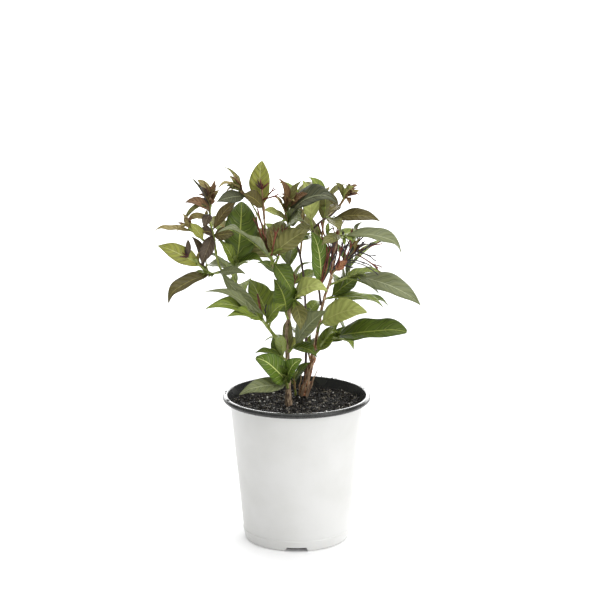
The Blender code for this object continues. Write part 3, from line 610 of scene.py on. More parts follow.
# a leaf is (share of its twig, heading, rise, length, tilt, arch) and a stalk (share, heading, rise, length);
# a tint is followed by how broad the blade is, how far it is turned to show its face, and how blunt it is
masses = {
    "foliage_upper_left": dict(
        spray="left", tints="plum:1.1:0 darkBronze:0.72:10 bronze:0.8 plum:1.2:10 bronze:0.62:30",
        tuftTints="bronze redBronze",
        on="bough_left", height="tip", runs=[(150, 74, 15), (77, 82, 14)],
        tuft=5, tuftSize=16, buds=3,
        leaves=[(0.15, 230, -51, 28, 20), (0.25, 33, 44, 33, 30), (0.45, 193, 6, 25, 20, 130),
                (0.70, 254, -29, 18, 0, 60), (0.90, 153, 59, 29, 0, 90)]),
    "foliage_left_tip": dict(
        spray="left", tints="lime:1.1:40 bronze:0.5:20 bronze:0.6",
        tuftTints="redBronze bronze",
        on="bough_left", height=247, runs=[(203, 36, 12), (200, 44, 15)], tuft=2, tuftSize=12,
        leaves=[(0.40, 215, 51, 20, 20), (0.80, 182, 6, 32, -5), (0.90, 157, 50, 15)]),
    "foliage_left": dict(
        spray="left",
        tints="darkOlive:0.98:8:0.4 lime:0.98:15:0.2 olive:0.8:20 greyGreen:0.9:10 plum:0.85:20",
        on="bough_left", height=228, runs=[(201, -7, 8), (205, 38, 12), (195, 40, 13)], buds=8,
        leaves=[(0.25, 205, -22, 43, 0), (0.55, 188, 29, 40, 20), (0.35, 261, 55, 15), (0.08, 328, 8, 27, 0),
                (0.50, 137, 64, 28, -60)]),
    "foliage_big_leaf": dict(
        spray="left", tints="deepGreen:1.12:34:0.55 deepGreen:1.0:30 green:1.0:30",
        on="bough_left", height=219, runs=[(343, 77, 14)], width=0.48,
        leaves=[(0.90, 77, 67, 53, 50), (0.70, 320, 24, 32, -15), (0.80, 215, 60, 26, 10)]),
    "foliage_low_left": dict(
        spray="left", tints="green:0.72:8 green:0.76:8 greyGreen:0.45:60 green:1.15:30",
        on="bough_left", height=176, runs=[(232, 50, 6)],
        leaves=[(0.60, 217, 24, 64, 10, 45), (0.40, 231, 21, 52, 5, 40), (0.90, 216, 46, 64, -32, 20),
                (0.60, 307, 44, 31, 20)]),
    "foliage_low_left_back": dict(
        spray="left", tints="green:1.3:0",
        on="bough_left", height=179, runs=[(70, 50, 5)],
        leaves=[(0.80, 130, 50, 42, 10)]),
    "foliage_centre": dict(
        spray="centre", tints="deepGreen:1.35:0 greyGreen:0.8:30 olive:1.3:30",
        on="bough_centre", height=229, runs=[(240, 60, 9)],
        leaves=[(0.15, 320, -45, 30, 0), (0.50, 222, 34, 64, -42, 24), (0.90, 9, 35, 38, -10)],
        stalks=[(0.80, 171, 74, 46)]),
    "foliage_centre_back": dict(
        spray="centre", tints="deepGreen:1.4:40 olive:1.5:0 olive:1.3:20",
        on="bough_centre", height=230, runs=[(40, 60, 8)],
        leaves=[(0.20, 40, -50, 28, 10), (0.75, 133, 34, 38, 30), (0.90, 83, 50, 36, 40)],
        stalks=[(0.95, 27, 77, 26)]),
    "foliage_top_left": dict(
        spray="top", tints="bronze:0.6:20 slate:1.15:30 olive:0.45:20 oliveLime:0.5:40",
        tuftTints="olive bronze",
        on="bough_top_left", height="tip", runs=[(196, 46, 10)], tuft=4, tuftSize=14, buds=3,
        width=0.34,
        leaves=[(0.20, 215, 26, 33, -10, 70), (0.30, 223, 0, 31, 10), (0.60, 176, 58, 28, -20),
                (0.80, 232, 46, 22, -20)]),
    "foliage_top": dict(
        spray="top", tints="darkOlive:1.4:50 lime:1.2:0:0.35 oliveLime:1.0:50",
        on="bough_centre", height="tip", runs=[(139, 84, 13), (180, 86, 10)], buds=9,
        leaves=[(0.30, 224, 34, 26, 10), (0.35, 98, 74, 38, 20), (0.25, 44, -22, 20)],
        stalks=[(0.60, 338, 44, 16)]),
    "foliage_top_centre": dict(
        spray="top", tints="redBronze:0.95:30 bronze:0.8:40 olive:0.75:20 redBronze:0.85:40 olive:0.8:20",
        tuftTints="redBronze bronze",
        on="stem_middle", height="tip", runs=[(212, 76, 10), (260, 82, 8)],
        tuft=2, tuftSize=12, width=0.36,
        leaves=[(0.70, 248, 71, 31), (0.60, 240, 44, 26), (0.55, 334, 66, 32), (0.75, 323, 38, 28),
                (0.25, 155, 30, 17)]),
    "foliage_dark_leaf": dict(
        spray="top", tints="slate:1.12:25 greyGreen:1.3:20",
        on="stem_middle", height=256, runs=[(255, 55, 8)],
        leaves=[(0.90, 329, 28, 55, -5, 80), (0.45, 287, 18, 34, 20)]),
    "foliage_upper_middle": dict(
        spray="top", tints="oliveLime:1.2:10 olive:1.4:40",
        on="bough_upper_right", height=252, runs=[(240, 70, 9)], width=0.36,
        leaves=[(0.60, 240, 73, 39), (0.30, 116, -34, 28)]),
    "foliage_top_right": dict(
        spray="top",
        tints="darkOlive:0.9:40 darkOlive:0.9:0 oliveLime:0.9:40 bronze:0.7:20 redBronze:0.7 olive:0.8:20",
        tuftTints="redBronze bronze",
        on="bough_upper_right", height="tip", runs=[(335, 58, 9), (343, 52, 5)], buds=9,
        tuft=2, tuftSize=12,
        leaves=[(0.10, 224, 38, 22), (0.20, 247, -3, 24), (0.50, 300, 48, 21, 20), (0.80, 25, 22, 15),
                (0.85, 279, -8, 18), (0.60, 174, 66, 18, 0, 80)]),
    "foliage_right_long": dict(
        spray="right", tints="darkOlive:0.78:15 olive:1.1:0",
        on="bough_upper_right", height=264, runs=[(296, 5, 9)],
        leaves=[(0.90, 333, 5, 43, 0), (0.50, 284, -7, 32)]),
    "foliage_right": dict(
        spray="right", tints="greyGreen:0.88:5 olive:1.0:0",
        on="bough_right", height=253, runs=[(310, 5, 6)],
        leaves=[(0.90, 347, -8, 53, -12, 50), (0.50, 230, -6, 26)]),
    "foliage_right_far": dict(
        spray="right", tints="greyGreen:0.88:25 deepGreen:0.9:20 green:0.9:30",
        on="stem_right", height=210, runs=[(355, 25, 20)],
        leaves=[(0.90, 334, -15, 65, -8), (0.70, 330, -17, 32, -40), (0.50, 12, 9, 35, -40)]),
    "flowers_right": dict(
        spray="right", tints="",
        on="bough_right", height=221, runs=[(345, 40, 14), (340, 52, 12)],
        tuft=2, tuftSize=14, leaves=[],
        stalks=[(0.02, 224, 62, 19), (0.15, 284, 61, 26), (0.35, 59, 64, 17), (0.45, 305, 60, 25),
                (0.60, 7, 61, 24), (0.75, 313, 42, 24), (0.95, 3, 18, 26), (0.95, 324, -7, 24),
                (0.90, 353, -30, 28), (0.70, 325, -38, 36)]),
    "foliage_right_middle": dict(
        spray="right", tints="footGreen:1.02:0:0.25",
        on="stem_right", height=205, runs=[(235, 33, 9)],
        leaves=[(0.90, 190, 82, 47, 20)]),
    "foliage_right_inner": dict(
        spray="right", tints="deepGreen:1.4:15 green:1.0:20",
        on="stem_right", height=198, runs=[(44, 5, 7)],
        leaves=[(0.90, 20, 33, 30, 10), (0.50, 358, -6, 47, -15)]),
    "foliage_right_olive": dict(
        spray="right", tints="oliveLime:1.15:20:0.4",
        on="stem_right", height=168, runs=[(292, 58, 8)], width=0.48,
        leaves=[(0.90, 331, 23, 44, 10, 24)]),
    "foliage_right_low": dict(
        spray="right", tints="deepGreen:1.02:0:1 green:0.8:0 green:1.2:40 deepGreen:1.1:20",
        on="stem_right", height=150, runs=[(335, 44, 22)],
        leaves=[(0.95, 334, 12, 66, 10, 16), (0.80, 299, 6, 40, -10), (0.25, 292, 38, 36, 20),
                (0.60, 24, 19, 28)]),
    "foliage_inner": dict(
        spray="centre", tints="oliveLime:1.2:0:0.5 olive:1.3:0",
        on="bough_centre", height=199, runs=[(290, 30, 6)],
        leaves=[(0.80, 320, 25, 39, 20, 70), (0.50, 290, -48, 28)]),
    "foliage_inner_dark": dict(
        spray="centre", tints="deepGreen:1.35:45",
        on="stem_left", height=184, runs=[(250, 48, 7)], width=0.46,
        leaves=[(0.80, 246, 57, 39, 30)]),
    "foliage_inner_low": dict(
        spray="centre", tints="greyGreen:1.25:30 deepGreen:1.2:20",
        on="stem_left", height=157, runs=[(320, 43, 10)],
        leaves=[(0.80, 329, 49, 44, -10), (0.50, 308, 2, 30)]),
    "foliage_low_front": dict(
        spray="centre", tints="deepGreen:0.85:20 green:0.8:0",
        on="stem_left", height=150, runs=[(230, 35, 8)],
        leaves=[(0.80, 213, 18, 26, -10), (0.50, 258, 52, 31)]),
    "foliage_foot": dict(
        spray="centre", tints="footGreen:1.45:35:0.9 footGreen:1.3:45:0.9 greyGreen:0.8:16:0.3",
        on="stem_left", height=126, runs=[(259, 52, 7)],
        leaves=[(0.80, 217, 44, 38, 10), (0.70, 300, 54, 30), (0.40, 219, 4, 47, 10)]),
    "foliage_foot_back": dict(
        spray="centre", tints="", pairTints="deepGreen green",
        on="stem_low", height="tip", runs=[(250, 74, 8)], pairs=2, size=24, turn=30, leaves=[]),
    "foliage_back_low": dict(
        spray="back", tints="", pairTints="deepGreen green greyGreen deepGreen",
        on="stem_right", height=142, runs=[(100, 30, 22), (95, 55, 20)],
        pairs=3, size=40, turn=20, leaves=[]),
    "foliage_back_left": dict(
        spray="back", tints="", pairTints="green deepGreen greyGreen olive", tuftTints="bronze olive",
        on="bough_left", height=204, runs=[(120, 35, 24), (105, 60, 34)],
        pairs=4, size=42, turn=60, tuft=3, tuftSize=14, leaves=[]),
    "foliage_back_inner": dict(
        spray="back", tints="", pairTints="deepGreen green greyGreen green",
        on="stem_left", height=174, runs=[(85, 35, 34), (95, 62, 40)],
        pairs=5, size=45, turn=10, leaves=[]),
    "foliage_back_top": dict(
        spray="back", tints="", pairTints="green olive olive bronze", tuftTints="redBronze bronze",
        on="stem_middle", height=234, runs=[(85, 35, 24), (95, 62, 26)],
        pairs=3, size=38, turn=40, tuft=4, tuftSize=14, leaves=[]),
    "foliage_back_right": dict(
        spray="back", tints="", pairTints="deepGreen:0.9 greyGreen:0.8 green:0.9 deepGreen:0.8",
        isEdgeOn=True, on="stem_right", height=176, runs=[(50, 30, 32), (65, 60, 42)],
        pairs=5, size=45, turn=80, leaves=[]),
    "foliage_back_upper": dict(
        spray="back", tints="", pairTints="green olive bronze olive", tuftTints="redBronze bronze",
        on="bough_upper_right", height=232, runs=[(70, 35, 22), (80, 66, 28)],
        pairs=3, size=38, turn=0, tuft=4, tuftSize=14, leaves=[]),
}


def guideTube(route, radii, sides, cut=None):
    # corners and faces of a plain tube, only to measure clearance with
    corners, faces = [], []
    for i, (direction, ring) in enumerate(ringsAlong(route, sides)):
        for outward in ring:
            corner = route[i] + outward * radii[i]
            if i == 0 and cut:
                corner += direction * ((cut[0] - corner).dot(cut[1]) / direction.dot(cut[1]))
            corners.append(corner)
    for i in range(len(route) - 1):
        for k in range(sides):
            a, b = i * sides + k, i * sides + (k + 1) % sides
            faces.append((a, b, b + sides, a + sides))
    faces += [tuple(reversed(range(sides))), tuple(range(len(corners) - sides, len(corners)))]
    return corners, faces


def guideBud(base, direction, length, radius):
    # a bud or a lobe of a spent flower: three-sided and pointed
    ring = ringAround(direction, squareTo(up, direction), 3)
    corners = [base + direction * (length * share) + outward * (radius * size)
               for share, size in growth["budShape"] for outward in ring]
    corners.append(base + direction * length)
    faces = [(2, 1, 0)]
    for k in range(3):
        n = (k + 1) % 3
        faces += [(k, n, n + 3, k + 3), (k + 3, n + 3, 6)]
    return corners, faces


def halfWidth(share):
    # the outline of a leaf's solid, at a share of the blade's length
    g = growth
    body = math.sin(math.pi * share ** g["outlinePower"]) ** g["outlineFullness"]
    return body * (1 - g["narrowing"] * max(0.0, share - g["narrowFrom"]) / (1 - g["narrowFrom"]))


def bend(spot, share):
    # the midrib's point at a share of the leaf's length, and the way up there
    turn = math.radians(max(spot["arch"], 1))
    angle = turn * (0.5 - share)
    ahead = (math.sin(turn / 2) - math.sin(angle)) / turn
    above = (math.cos(angle) - math.cos(turn / 2)) / turn
    middle = spot["base"] + (spot["direction"] * ahead + spot["facing"] * above) * spot["length"]
    return middle, spot["facing"] * math.cos(angle) - spot["direction"] * math.sin(angle)


def guideLeaf(spot, extra=0.0):
    # a leaf's solid: folded along the midrib and bent, or that by so much larger
    g = growth
    side = spot["facing"].cross(spot["direction"])
    fold = math.radians(g["fold"])
    thickness = max(g["thickness"], g["thicknessShare"] * spot["length"]) + 2 * extra
    stations = [(0.0, g["stalkHalf"]), (g["leafStalk"], g["stalkHalf"])]
    stations += [(g["leafStalk"] + (1 - g["leafStalk"]) * share, 0.5 * spot["width"] * halfWidth(share))
                 for share in g["stations"]]
    corners, faces = [], []
    for share, half in stations:
        middle, upward = bend(spot, share)
        out = side * math.cos(fold) * (half + extra)
        raised = upward * math.sin(fold) * (half + extra)
        corners += [middle - out + raised, middle - upward * thickness / 2,
                    middle + out + raised, middle + upward * thickness / 2]
    corners.append(bend(spot, 1.0)[0] + spot["direction"] * extra)
    rings, tip = len(stations), len(corners) - 1
    for i in range(rings - 1):
        for k in range(4):
            a, b = 4 * i + k, 4 * i + (k + 1) % 4
            faces.append((a, b, b + 4, a + 4))
    faces += [(4 * (rings - 1) + k, 4 * (rings - 1) + (k + 1) % 4, tip) for k in range(4)]
    faces.append((3, 2, 1, 0))
    return corners, faces


# what has grown so far, and under taken the space that each owner's solids fill
grown = dict(limbs={}, taken=[], leaves=[], buds=[], flowers=[], twigs={})


def take(owner, guide):
    grown["taken"].append((owner, BVHTree.FromPolygons(*guide)))


def isClear(owner, guide):
    tree = BVHTree.FromPolygons(*guide)
    return not any(tree.overlap(other) for name, other in grown["taken"] if name != owner)


def seat(on, height, firstRun):
    # where a limb or a twig starts, a gap clear of what carries it, and its slanting cut
    route, radii = grown["limbs"][on]
    direction = compass(firstRun[0], firstRun[1])
    if height == "tip":
        point, tangent = along(route, 1.0)
        cut = point + tangent * growth["gap"]
        return point + direction * (growth["gap"] / direction.dot(tangent)), (cut, tangent)
    share = shareAtHeight(route, height)
    point, tangent = along(route, share)
    outward = squareTo(direction, tangent)
    clearOfBark = radiusAlong(route, radii, share) + growth["gap"]
    start = point + direction * (clearOfBark / direction.dot(outward))
    return start, (start, outward)


def tapered(route, thick, thin, isStem=False):
    radii = []
    for i, point in enumerate(route):
        radius = thick + (thin - thick) * i / (len(route) - 1)
        if isStem:
            height = point.z - route[0].z
            radius *= 1 + growth["flare"] * max(0.0, 1 - height / growth["flareHeight"]) ** 2
        radii.append(radius)
    return radii


def growLimb(name, limb):
    g = growth
    if "foot" in limb:
        start = Vector((*limb["foot"], g["footHeight"]))
        cut = (start, up)
    else:
        start, cut = seat(limb["on"], limb["height"], limb["runs"][0])
    route = smoothRoute(start, limb["runs"], g["limbRings"])
    if "foot" in limb:
        route.insert(1, along(route, 0.3 * g["limbRings"] / limb["runs"][0][2])[0])
    radii = tapered(route, limb["thick"], limb["thin"], "foot" in limb)
    grown["limbs"][name] = (route, radii)
    take(name, guideTube(route, radii, g["limbSides"], cut))


def growTwig(name, mass):
    g = growth
    for aside in g["nudges"]:
        heading, rise, length = mass["runs"][0]
        runs = [(heading + aside, rise, length)] + mass["runs"][1:]
        start, cut = seat(mass["on"], mass["height"], runs[0])
        route = smoothRoute(start, runs, g["twigRings"])
        radii = tapered(route, g["stemRadius"], g["tipRadius"])
        if isClear(name, guideTube(route, [radius + g["gap"] for radius in radii], g["twigSides"], cut)):
            break
    grown["twigs"][name] = (route, radii)
    take(name, guideTube(route, radii, g["twigSides"], cut))


def bladeFacing(direction, stemDirection, tilt):
    facing = squareTo(stemDirection * growth["stemPull"] + growth["light"], direction)
    toFront = math.copysign(1, direction.cross(facing).dot(front))
    return Matrix.Rotation(math.radians(tilt) * toFront, 3, direction) @ facing


def addLeaf(name, base, stemDirection, heading, rise, length, tilt, arch, width, tint):
    # turned aside or shortened until it is clear of the rest, or left out
    tint, *look = tint.split(":")
    look = [float(value) for value in look]
    for shorter in growth["shorter"]:
        for aside in growth["nudges"]:
            for lift in growth["lifts"]:
                direction = compass(heading + aside, rise + lift)
                spot = dict(base=base, direction=direction, stem=stemDirection,
                            facing=bladeFacing(direction, stemDirection, tilt), length=length * shorter,
                            arch=arch, width=width * length * shorter, mass=name, tint=tint)
                if isClear(name, guideLeaf(spot, growth["gap"])):
                    take(name, guideLeaf(spot))
                    spot.update(zip(("broad", "turn", "blunt"), look))
                    grown["leaves"].append(spot)
                    return spot
    return None


def addFlower(base, direction, length, fork, lobes, name):
    grown["flowers"].append(dict(base=base, direction=direction, length=length, fork=fork, lobes=lobes,
                                 on=name))


def swing(chance, most):
    return chance.uniform(-most, most)


def growShownLeaves(name, mass, chance):
    g = growth
    route = grown["twigs"][name][0]
    for (share, heading, rise, length, *rest), tint in zip(mass["leaves"], mass["tints"].split()):
        tilt = rest[0] if rest else 0
        arch = rest[1] if len(rest) > 1 else g["arch"]
        base, direction = along(route, share)
        addLeaf(name, base, direction, heading, rise, length, tilt + swing(chance, g["tiltSwing"]), arch,
                mass.get("width", g["leafWidth"]), tint)
    for share, heading, rise, length in mass.get("stalks", ()):
        base, direction = along(route, share)[0], compass(heading, rise)
        fork = base + direction * (length * g["stalkFork"])
        half = base + direction * (length * g["stalkFork"] / 2)
        guides = [guideTube([base, half, fork], g["stalkRadii"], 3)]
        first = chance.uniform(0, 360)
        count = chance.choice((2, 3))
        across = squareTo(up, direction)
        lobes = []
        for k in range(count):
            spread = Matrix.Rotation(math.radians(first + 360 * k / count), 3, direction) @ across
            lobe = (direction + spread * chance.uniform(*g["lobeSpread"])).normalized()
            reach = length * chance.uniform(*g["lobeLengths"])
            guides.append(guideBud(fork - direction * g["lobeRadius"], lobe, reach, g["lobeRadius"]))
            lobes.append((lobe, reach))
        if all(isClear(name, guide) for guide in guides):
            for guide in guides:
                take(name, guide)
            addFlower(base, direction, length, fork, lobes, name)


def pairDirection(direction, turn, opening):
    across = squareTo(Vector((1, 0, 0)), direction)
    side = Matrix.Rotation(math.radians(turn), 3, direction) @ across
    opened = math.radians(opening)
    return direction * math.cos(opened) + side * math.sin(opened)


def growPairs(name, mass, chance):
    # opposite pairs, each turned across the last, smaller and steeper towards the tip
    g = growth
    route, pairs = grown["twigs"][name][0], mass.get("pairs", 0)
    for i in range(pairs):
        share = (i + 1) / pairs
        base, direction = along(route, min(share, 0.98))
        opening = g["pairOpening"] - g["pairClosing"] * share
        for side in (0, 180):
            turn = mass["turn"] + g["pairTurn"] * i + side + swing(chance, g["pairSwing"])
            aim = pairDirection(direction, turn, opening + swing(chance, g["pairWobble"]))
            heading, rise = toCompass(aim)
            length = mass["size"] * (g["pairGrowth"] - g["pairShrink"] * share)
            length *= chance.uniform(*g["pairLengths"])
            tints = mass["pairTints"].split()
            addLeaf(name, base, direction, heading, rise - g["pairDroop"], length,
                    swing(chance, g["pairTilt"]), g["arch"] + chance.uniform(*g["pairArch"]),
                    g["leafWidth"], tints[(2 * i + side // 180) % len(tints)])


def growTuft(name, mass, chance):
    # young leaves and dark buds crowded round the stem's tip
    g = growth
    tip, direction = along(grown["twigs"][name][0], 0.99)
    first = chance.uniform(0, 360)
    tints = mass.get("tuftTints", g["tuftTints"]).split()
    for i in range(mass.get("tuft", 0)):
        turn = first + g["pairTurn"] * (i // 2) + 180 * (i % 2) + swing(chance, g["tuftSwing"])
        heading, rise = toCompass(pairDirection(direction, turn, chance.uniform(*g["tuftOpening"])))
        length = mass["tuftSize"] * chance.uniform(*g["tuftLengths"])
        addLeaf(name, tip - direction * g["tipRadius"], direction, heading, rise, length, 0,
                chance.uniform(*g["tuftArch"]), g["youngWidth"], tints[i % len(tints)])
    for i in range(mass.get("buds", 0)):
        aim = pairDirection(direction, first + g["budTurn"] * i, chance.uniform(*g["budOpening"]))
        base, length = tip - direction * g["tipRadius"], chance.uniform(*g["budLengths"])
        guide = guideBud(base, aim, length, g["budRadius"])
        if isClear(name, guide):
            take(name, guide)
            grown["buds"].append((base, aim, length))


for name, limb in limbs.items():
    growLimb(name, limb)
for name, mass in masses.items():
    growTwig(name, mass)
for name, mass in masses.items():
    growShownLeaves(name, mass, random.Random(name))
for name, mass in masses.items():
    chance = random.Random(name + " young")
    growPairs(name, mass, chance)
    growTuft(name, mass, chance)
print("grown:", *[f"{len(grown[kind])} {kind}" for kind in ("leaves", "buds", "flowers")])

# leaves: a blade, its keel and stalk, and side shoots with tiny leaves

blade = dict(cellsAcross=4, cellsAlong=14, youngCells=8, youngCellsTo=12, thick=0.38, insideBox=0.1,
             fold=(0.9, 1.8), twist=11.0, sickle=0.04, wave=0.026, waves=(1.4, 2.3), waveSpread=(0.4, 1.2),
             quilt=0.004, quilts=4, quiltSlant=0.18, curl=0.11, curlSpread=(0.2, 1.4), curlFrom=0.76,
             tipFrom=0.70, tipNarrowing=0.28, bluntPower=0.85, bluntFullness=0.42,
             broad=1.14, youngBroad=0.78, youngTo=20, narrowest=0.08, edgeOn=84)
keel = dict(radii=(0.78, 0.5, 0.14), rings=8, sides=6, upTo=0.97, sunk=0.35, sunkShare=0.45,
            least=0.35, fullAt=60)


def bladeWidth(share, blunt):
    # a pointed blade, or by so much a blunt one with even sides
    b = blade
    tip = max(0.0, share - b["tipFrom"]) / (1 - b["tipFrom"])
    pointed = halfWidth(share) * (1 - b["tipNarrowing"] * tip ** 2)
    even = math.sin(math.pi * min(share, 0.995) ** b["bluntPower"]) ** b["bluntFullness"]
    return pointed * (1 - blunt) + blunt * even


def turnToFront(spot):
    # the angle that some blades are turned on their midrib, to show their upper side, or their edge
    towards = math.copysign(1, spot["direction"].cross(spot["facing"]).dot(front))
    if masses[spot["mass"]].get("isEdgeOn"):
        across = squareTo(front, spot["direction"])
        return towards * (spot["facing"].angle(across) - math.radians(blade["edgeOn"]))
    return math.radians(spot.get("turn", 0.0)) * towards


def bladeSurface(spot, chance):
    # gives the point of the blade at a share of its length and of its half width
    b, g = blade, growth
    side = spot["facing"].cross(spot["direction"])
    lean = math.radians(g["fold"]) * chance.uniform(*b["fold"])
    twist = math.radians(swing(chance, b["twist"]))
    sickle = swing(chance, b["sickle"]) * spot["length"]
    phases = [chance.uniform(0, turnAround) for k in range(2)]
    waves, wave = chance.uniform(*b["waves"]), b["wave"] * spot["length"] * chance.uniform(*b["waveSpread"])
    usual = b["broad"] if spot["length"] > b["youngTo"] else b["youngBroad"]
    width = spot["width"] * spot.get("broad", usual)
    turn = turnToFront(spot)
    curl = b["curl"] * spot["length"] * chance.uniform(*b["curlSpread"])

    def point(share, across):
        middle, upward = bend(spot, share)
        part = max(0.0, (share - g["leafStalk"]) / (1 - g["leafStalk"]))
        half = max(b["narrowest"], 0.5 * width * bladeWidth(part, spot.get("blunt", 0.0)))
        half = g["stalkHalf"] if part == 0 else half
        away = abs(across)
        # the fold, the waves of the edge, and the swellings between the side veins
        rise = half * math.sin(lean) * (1.35 * away - 0.35 * away ** 2)
        phase = phases[across > 0] + turnAround * waves * part
        rise += wave * away ** 1.5 * math.sin(phase) * math.sin(math.pi * part)
        quilt = math.cos(turnAround * b["quilts"] * (part - b["quiltSlant"] * away))
        rise -= b["quilt"] * spot["length"] * away * (1 - away) * quilt
        out = across * half * math.cos(lean)
        rise -= curl * max(0.0, (part - b["curlFrom"]) / (1 - b["curlFrom"])) ** 2
        turned = turn + twist * part
        shift = sickle * math.sin(math.pi * part) + out * math.cos(turned) - rise * math.sin(turned)
        return middle + side * shift + upward * (rise * math.cos(turned) + out * math.sin(turned))

    return point


def keepInside(point):
    # holds the few points at the sides of the solids' box just inside it
    inset = blade["thick"] + blade["insideBox"]
    return Vector([max(low * 1000 + inset, min(high * 1000 - inset, value))
                   for low, value, high in zip(cadBox[0], point, cadBox[1])])


def makeBlade(spot, point, whole, index):
    b, g = blade, growth
    rows = b["cellsAlong"] if spot["length"] > b["youngCellsTo"] else b["youngCells"]
    form = bmesh.new()
    layer = form.loops.layers.uv.new("leafMap")
    bmesh.ops.create_grid(form, x_segments=b["cellsAcross"], y_segments=rows, size=1.0)
    shares = {}
    for corner in form.verts:
        across, row = corner.co.x, round((corner.co.y + 1) / 2 * rows)
        part = max(0.0, (row - 1) / (rows - 1))
        share = g["leafStalk"] * 0.4 if row == 0 else g["leafStalk"] + (1 - g["leafStalk"]) * part
        corner.co = keepInside(point(share, -across))
        shares[corner] = ((across + 1) / 2, part)
    for face in form.faces:
        face.material_index = index
        for loop in face.loops:
            loop[layer].uv = shares[loop.vert]
    pour(form, whole)


def makeKeel(spot, point, whole, index):
    # the leaf's stalk, and its midrib below the blade
    k, g = keel, growth
    length = k["upTo"] - g["leafStalk"]
    shares = [0.0] + [g["leafStalk"] + length * (i / k["rings"]) for i in range(k["rings"] + 1)]
    scale = min(1.0, k["least"] + spot["length"] / k["fullAt"])
    route, radii = [], []
    turned = Matrix.Rotation(turnToFront(spot), 3, spot["direction"])
    first, stalk, last = (radius * scale for radius in k["radii"])
    for share in shares:
        middle = point(share, 0.0)
        if share <= g["leafStalk"]:
            radius = first + (stalk - first) * share / g["leafStalk"]
        else:
            radius = last + (stalk - last) * (1 - share) ** 0.7
        route.append(middle - turned @ bend(spot, share)[1] * (k["sunk"] + radius * k["sunkShare"]))
        radii.append(radius)
    pour(sweep(route, radii, k["sides"], None, index), whole)


shoot = dict(fromLength=24, bare=0.35, stemPull=1.3, reach=(2.5, 7.5), swing=12, guideRadii=[0.6, 0.45],
             leafCounts=(2, 2, 4), opening=(18, 48), inset=0.4, length=(5, 12), arch=(10, 60), width=0.42,
             radii=[0.6, 0.48, 0.4], rise=0.2, sides=6)


def growShoots():
    # finer growth at the leaves' feet: short twigs with a pair or two of tiny leaves
    s, made = shoot, []
    chance = random.Random("shoots")
    for spot in list(grown["leaves"]):
        if spot["length"] < s["fromLength"] or chance.random() < s["bare"]:
            continue
        heading, rise = toCompass((spot["direction"] + spot["stem"] * s["stemPull"]).normalized())
        reach = chance.uniform(*s["reach"])
        start = spot["base"]
        end = start + compass(heading + swing(chance, s["swing"]), rise) * reach
        guide = guideTube([start, end], s["guideRadii"], 3)
        if not isClear(spot["mass"], guide):
            continue
        take(spot["mass"], guide)
        made.append((start, end, spot))
        young = "bronze" if spot["tint"] in ("bronze", "redBronze", "plum", "darkBronze") else "green"
        direction = (end - start).normalized()
        first = chance.uniform(0, 180)
        for k in range(chance.choice(s["leafCounts"])):
            aim = pairDirection(direction, first + 180 * k + 90 * (k // 2), chance.uniform(*s["opening"]))
            addLeaf(spot["mass"], end - direction * s["inset"], direction, *toCompass(aim),
                    chance.uniform(*s["length"]), 0, chance.uniform(*s["arch"]), s["width"], young)
    return made


# more leaves, which the solids leave out, by mass, each (share of the twig, heading, rise, length, tilt, arch,
# width, tint)
youngLeaves = {
    "foliage_upper_left": [(0.10, 211, 27, 15, 40, 40, 0.60, "plum"),
        (0.75, 193, 25, 27, 30, 110, 0.36, "redBronze"), (0.75, 199, 50, 17, 30, 60, 0.50, "slate"),
        (0.99, 347, 80, 18, 30, 30, 0.32, "redBronze"), (0.99, 13, 58, 14, 30, 40, 0.34, "bronze"),
        (0.99, 242, 70, 15, 30, 30, 0.30, "redBronze"), (0.99, 303, 64, 16, 30, 50, 0.34, "darkBronze"),
        (0.10, 345, 10, 19, 50, 60, 0.62, "darkOlive"), (0.90, 192, -32, 34, 20, 170, 0.15, "olive"),
        (0.99, 178, 55, 28, 20, -45, 0.08, "slate"), (0.99, 200, 64, 17, 30, 40, 0.26, "plum"),
        (0.99, 10, 78, 21, 30, 40, 0.22, "redBronze"), (0.95, 270, 35, 14, 40, 70, 0.34, "redBronze")],
    "foliage_left_tip": [(0.90, 143, 59, 14, 40, 40, 0.34, "olive")],
    "foliage_left": [(0.99, 90, 80, 15, 40, 70, 0.30, "plum"), (0.02, 350, -44, 50, 30, 24, 0.24, "greyGreen")],
    "foliage_right_low": [(0.02, 335, 56, 32, 40, 20, 0.42, "green")],
    "foliage_low_front": [(0.50, 160, 62, 20, 40, 30, 0.50, "deepGreen")],
    "foliage_inner_low": [(0.02, 100, 78, 28, 60, 20, 0.45, "olive"), (0.02, 40, 55, 22, 40, 30, 0.30, "lime")],
    "foliage_centre": [(0.60, 162, 50, 31, 60, 30, 0.62, "olive"),
        (0.90, 109, 80, 24, 50, 30, 0.60, "darkOlive")],
    "foliage_dark_leaf": [(0.60, 317, 40, 20, 50, 60, 0.75, "greyGreen")],
    "foliage_top_right": [(0.99, 265, 44, 15, 40, 30, 0.36, "olive"),
        (0.99, 285, 30, 16, 40, 30, 0.32, "bronze"), (0.99, 312, 35, 13, 40, 30, 0.32, "redBronze")],
    "flowers_right": [(0.02, 336, 40, 15, 60, 20, 0.50, "coral")],
    "foliage_foot": [(0.50, 222, 53, 26, 60, 30, 0.55, "deepGreen")],
    "foliage_top_left": [(0.90, 241, 46, 19, 40, 40, 0.34, "redBronze")],
}
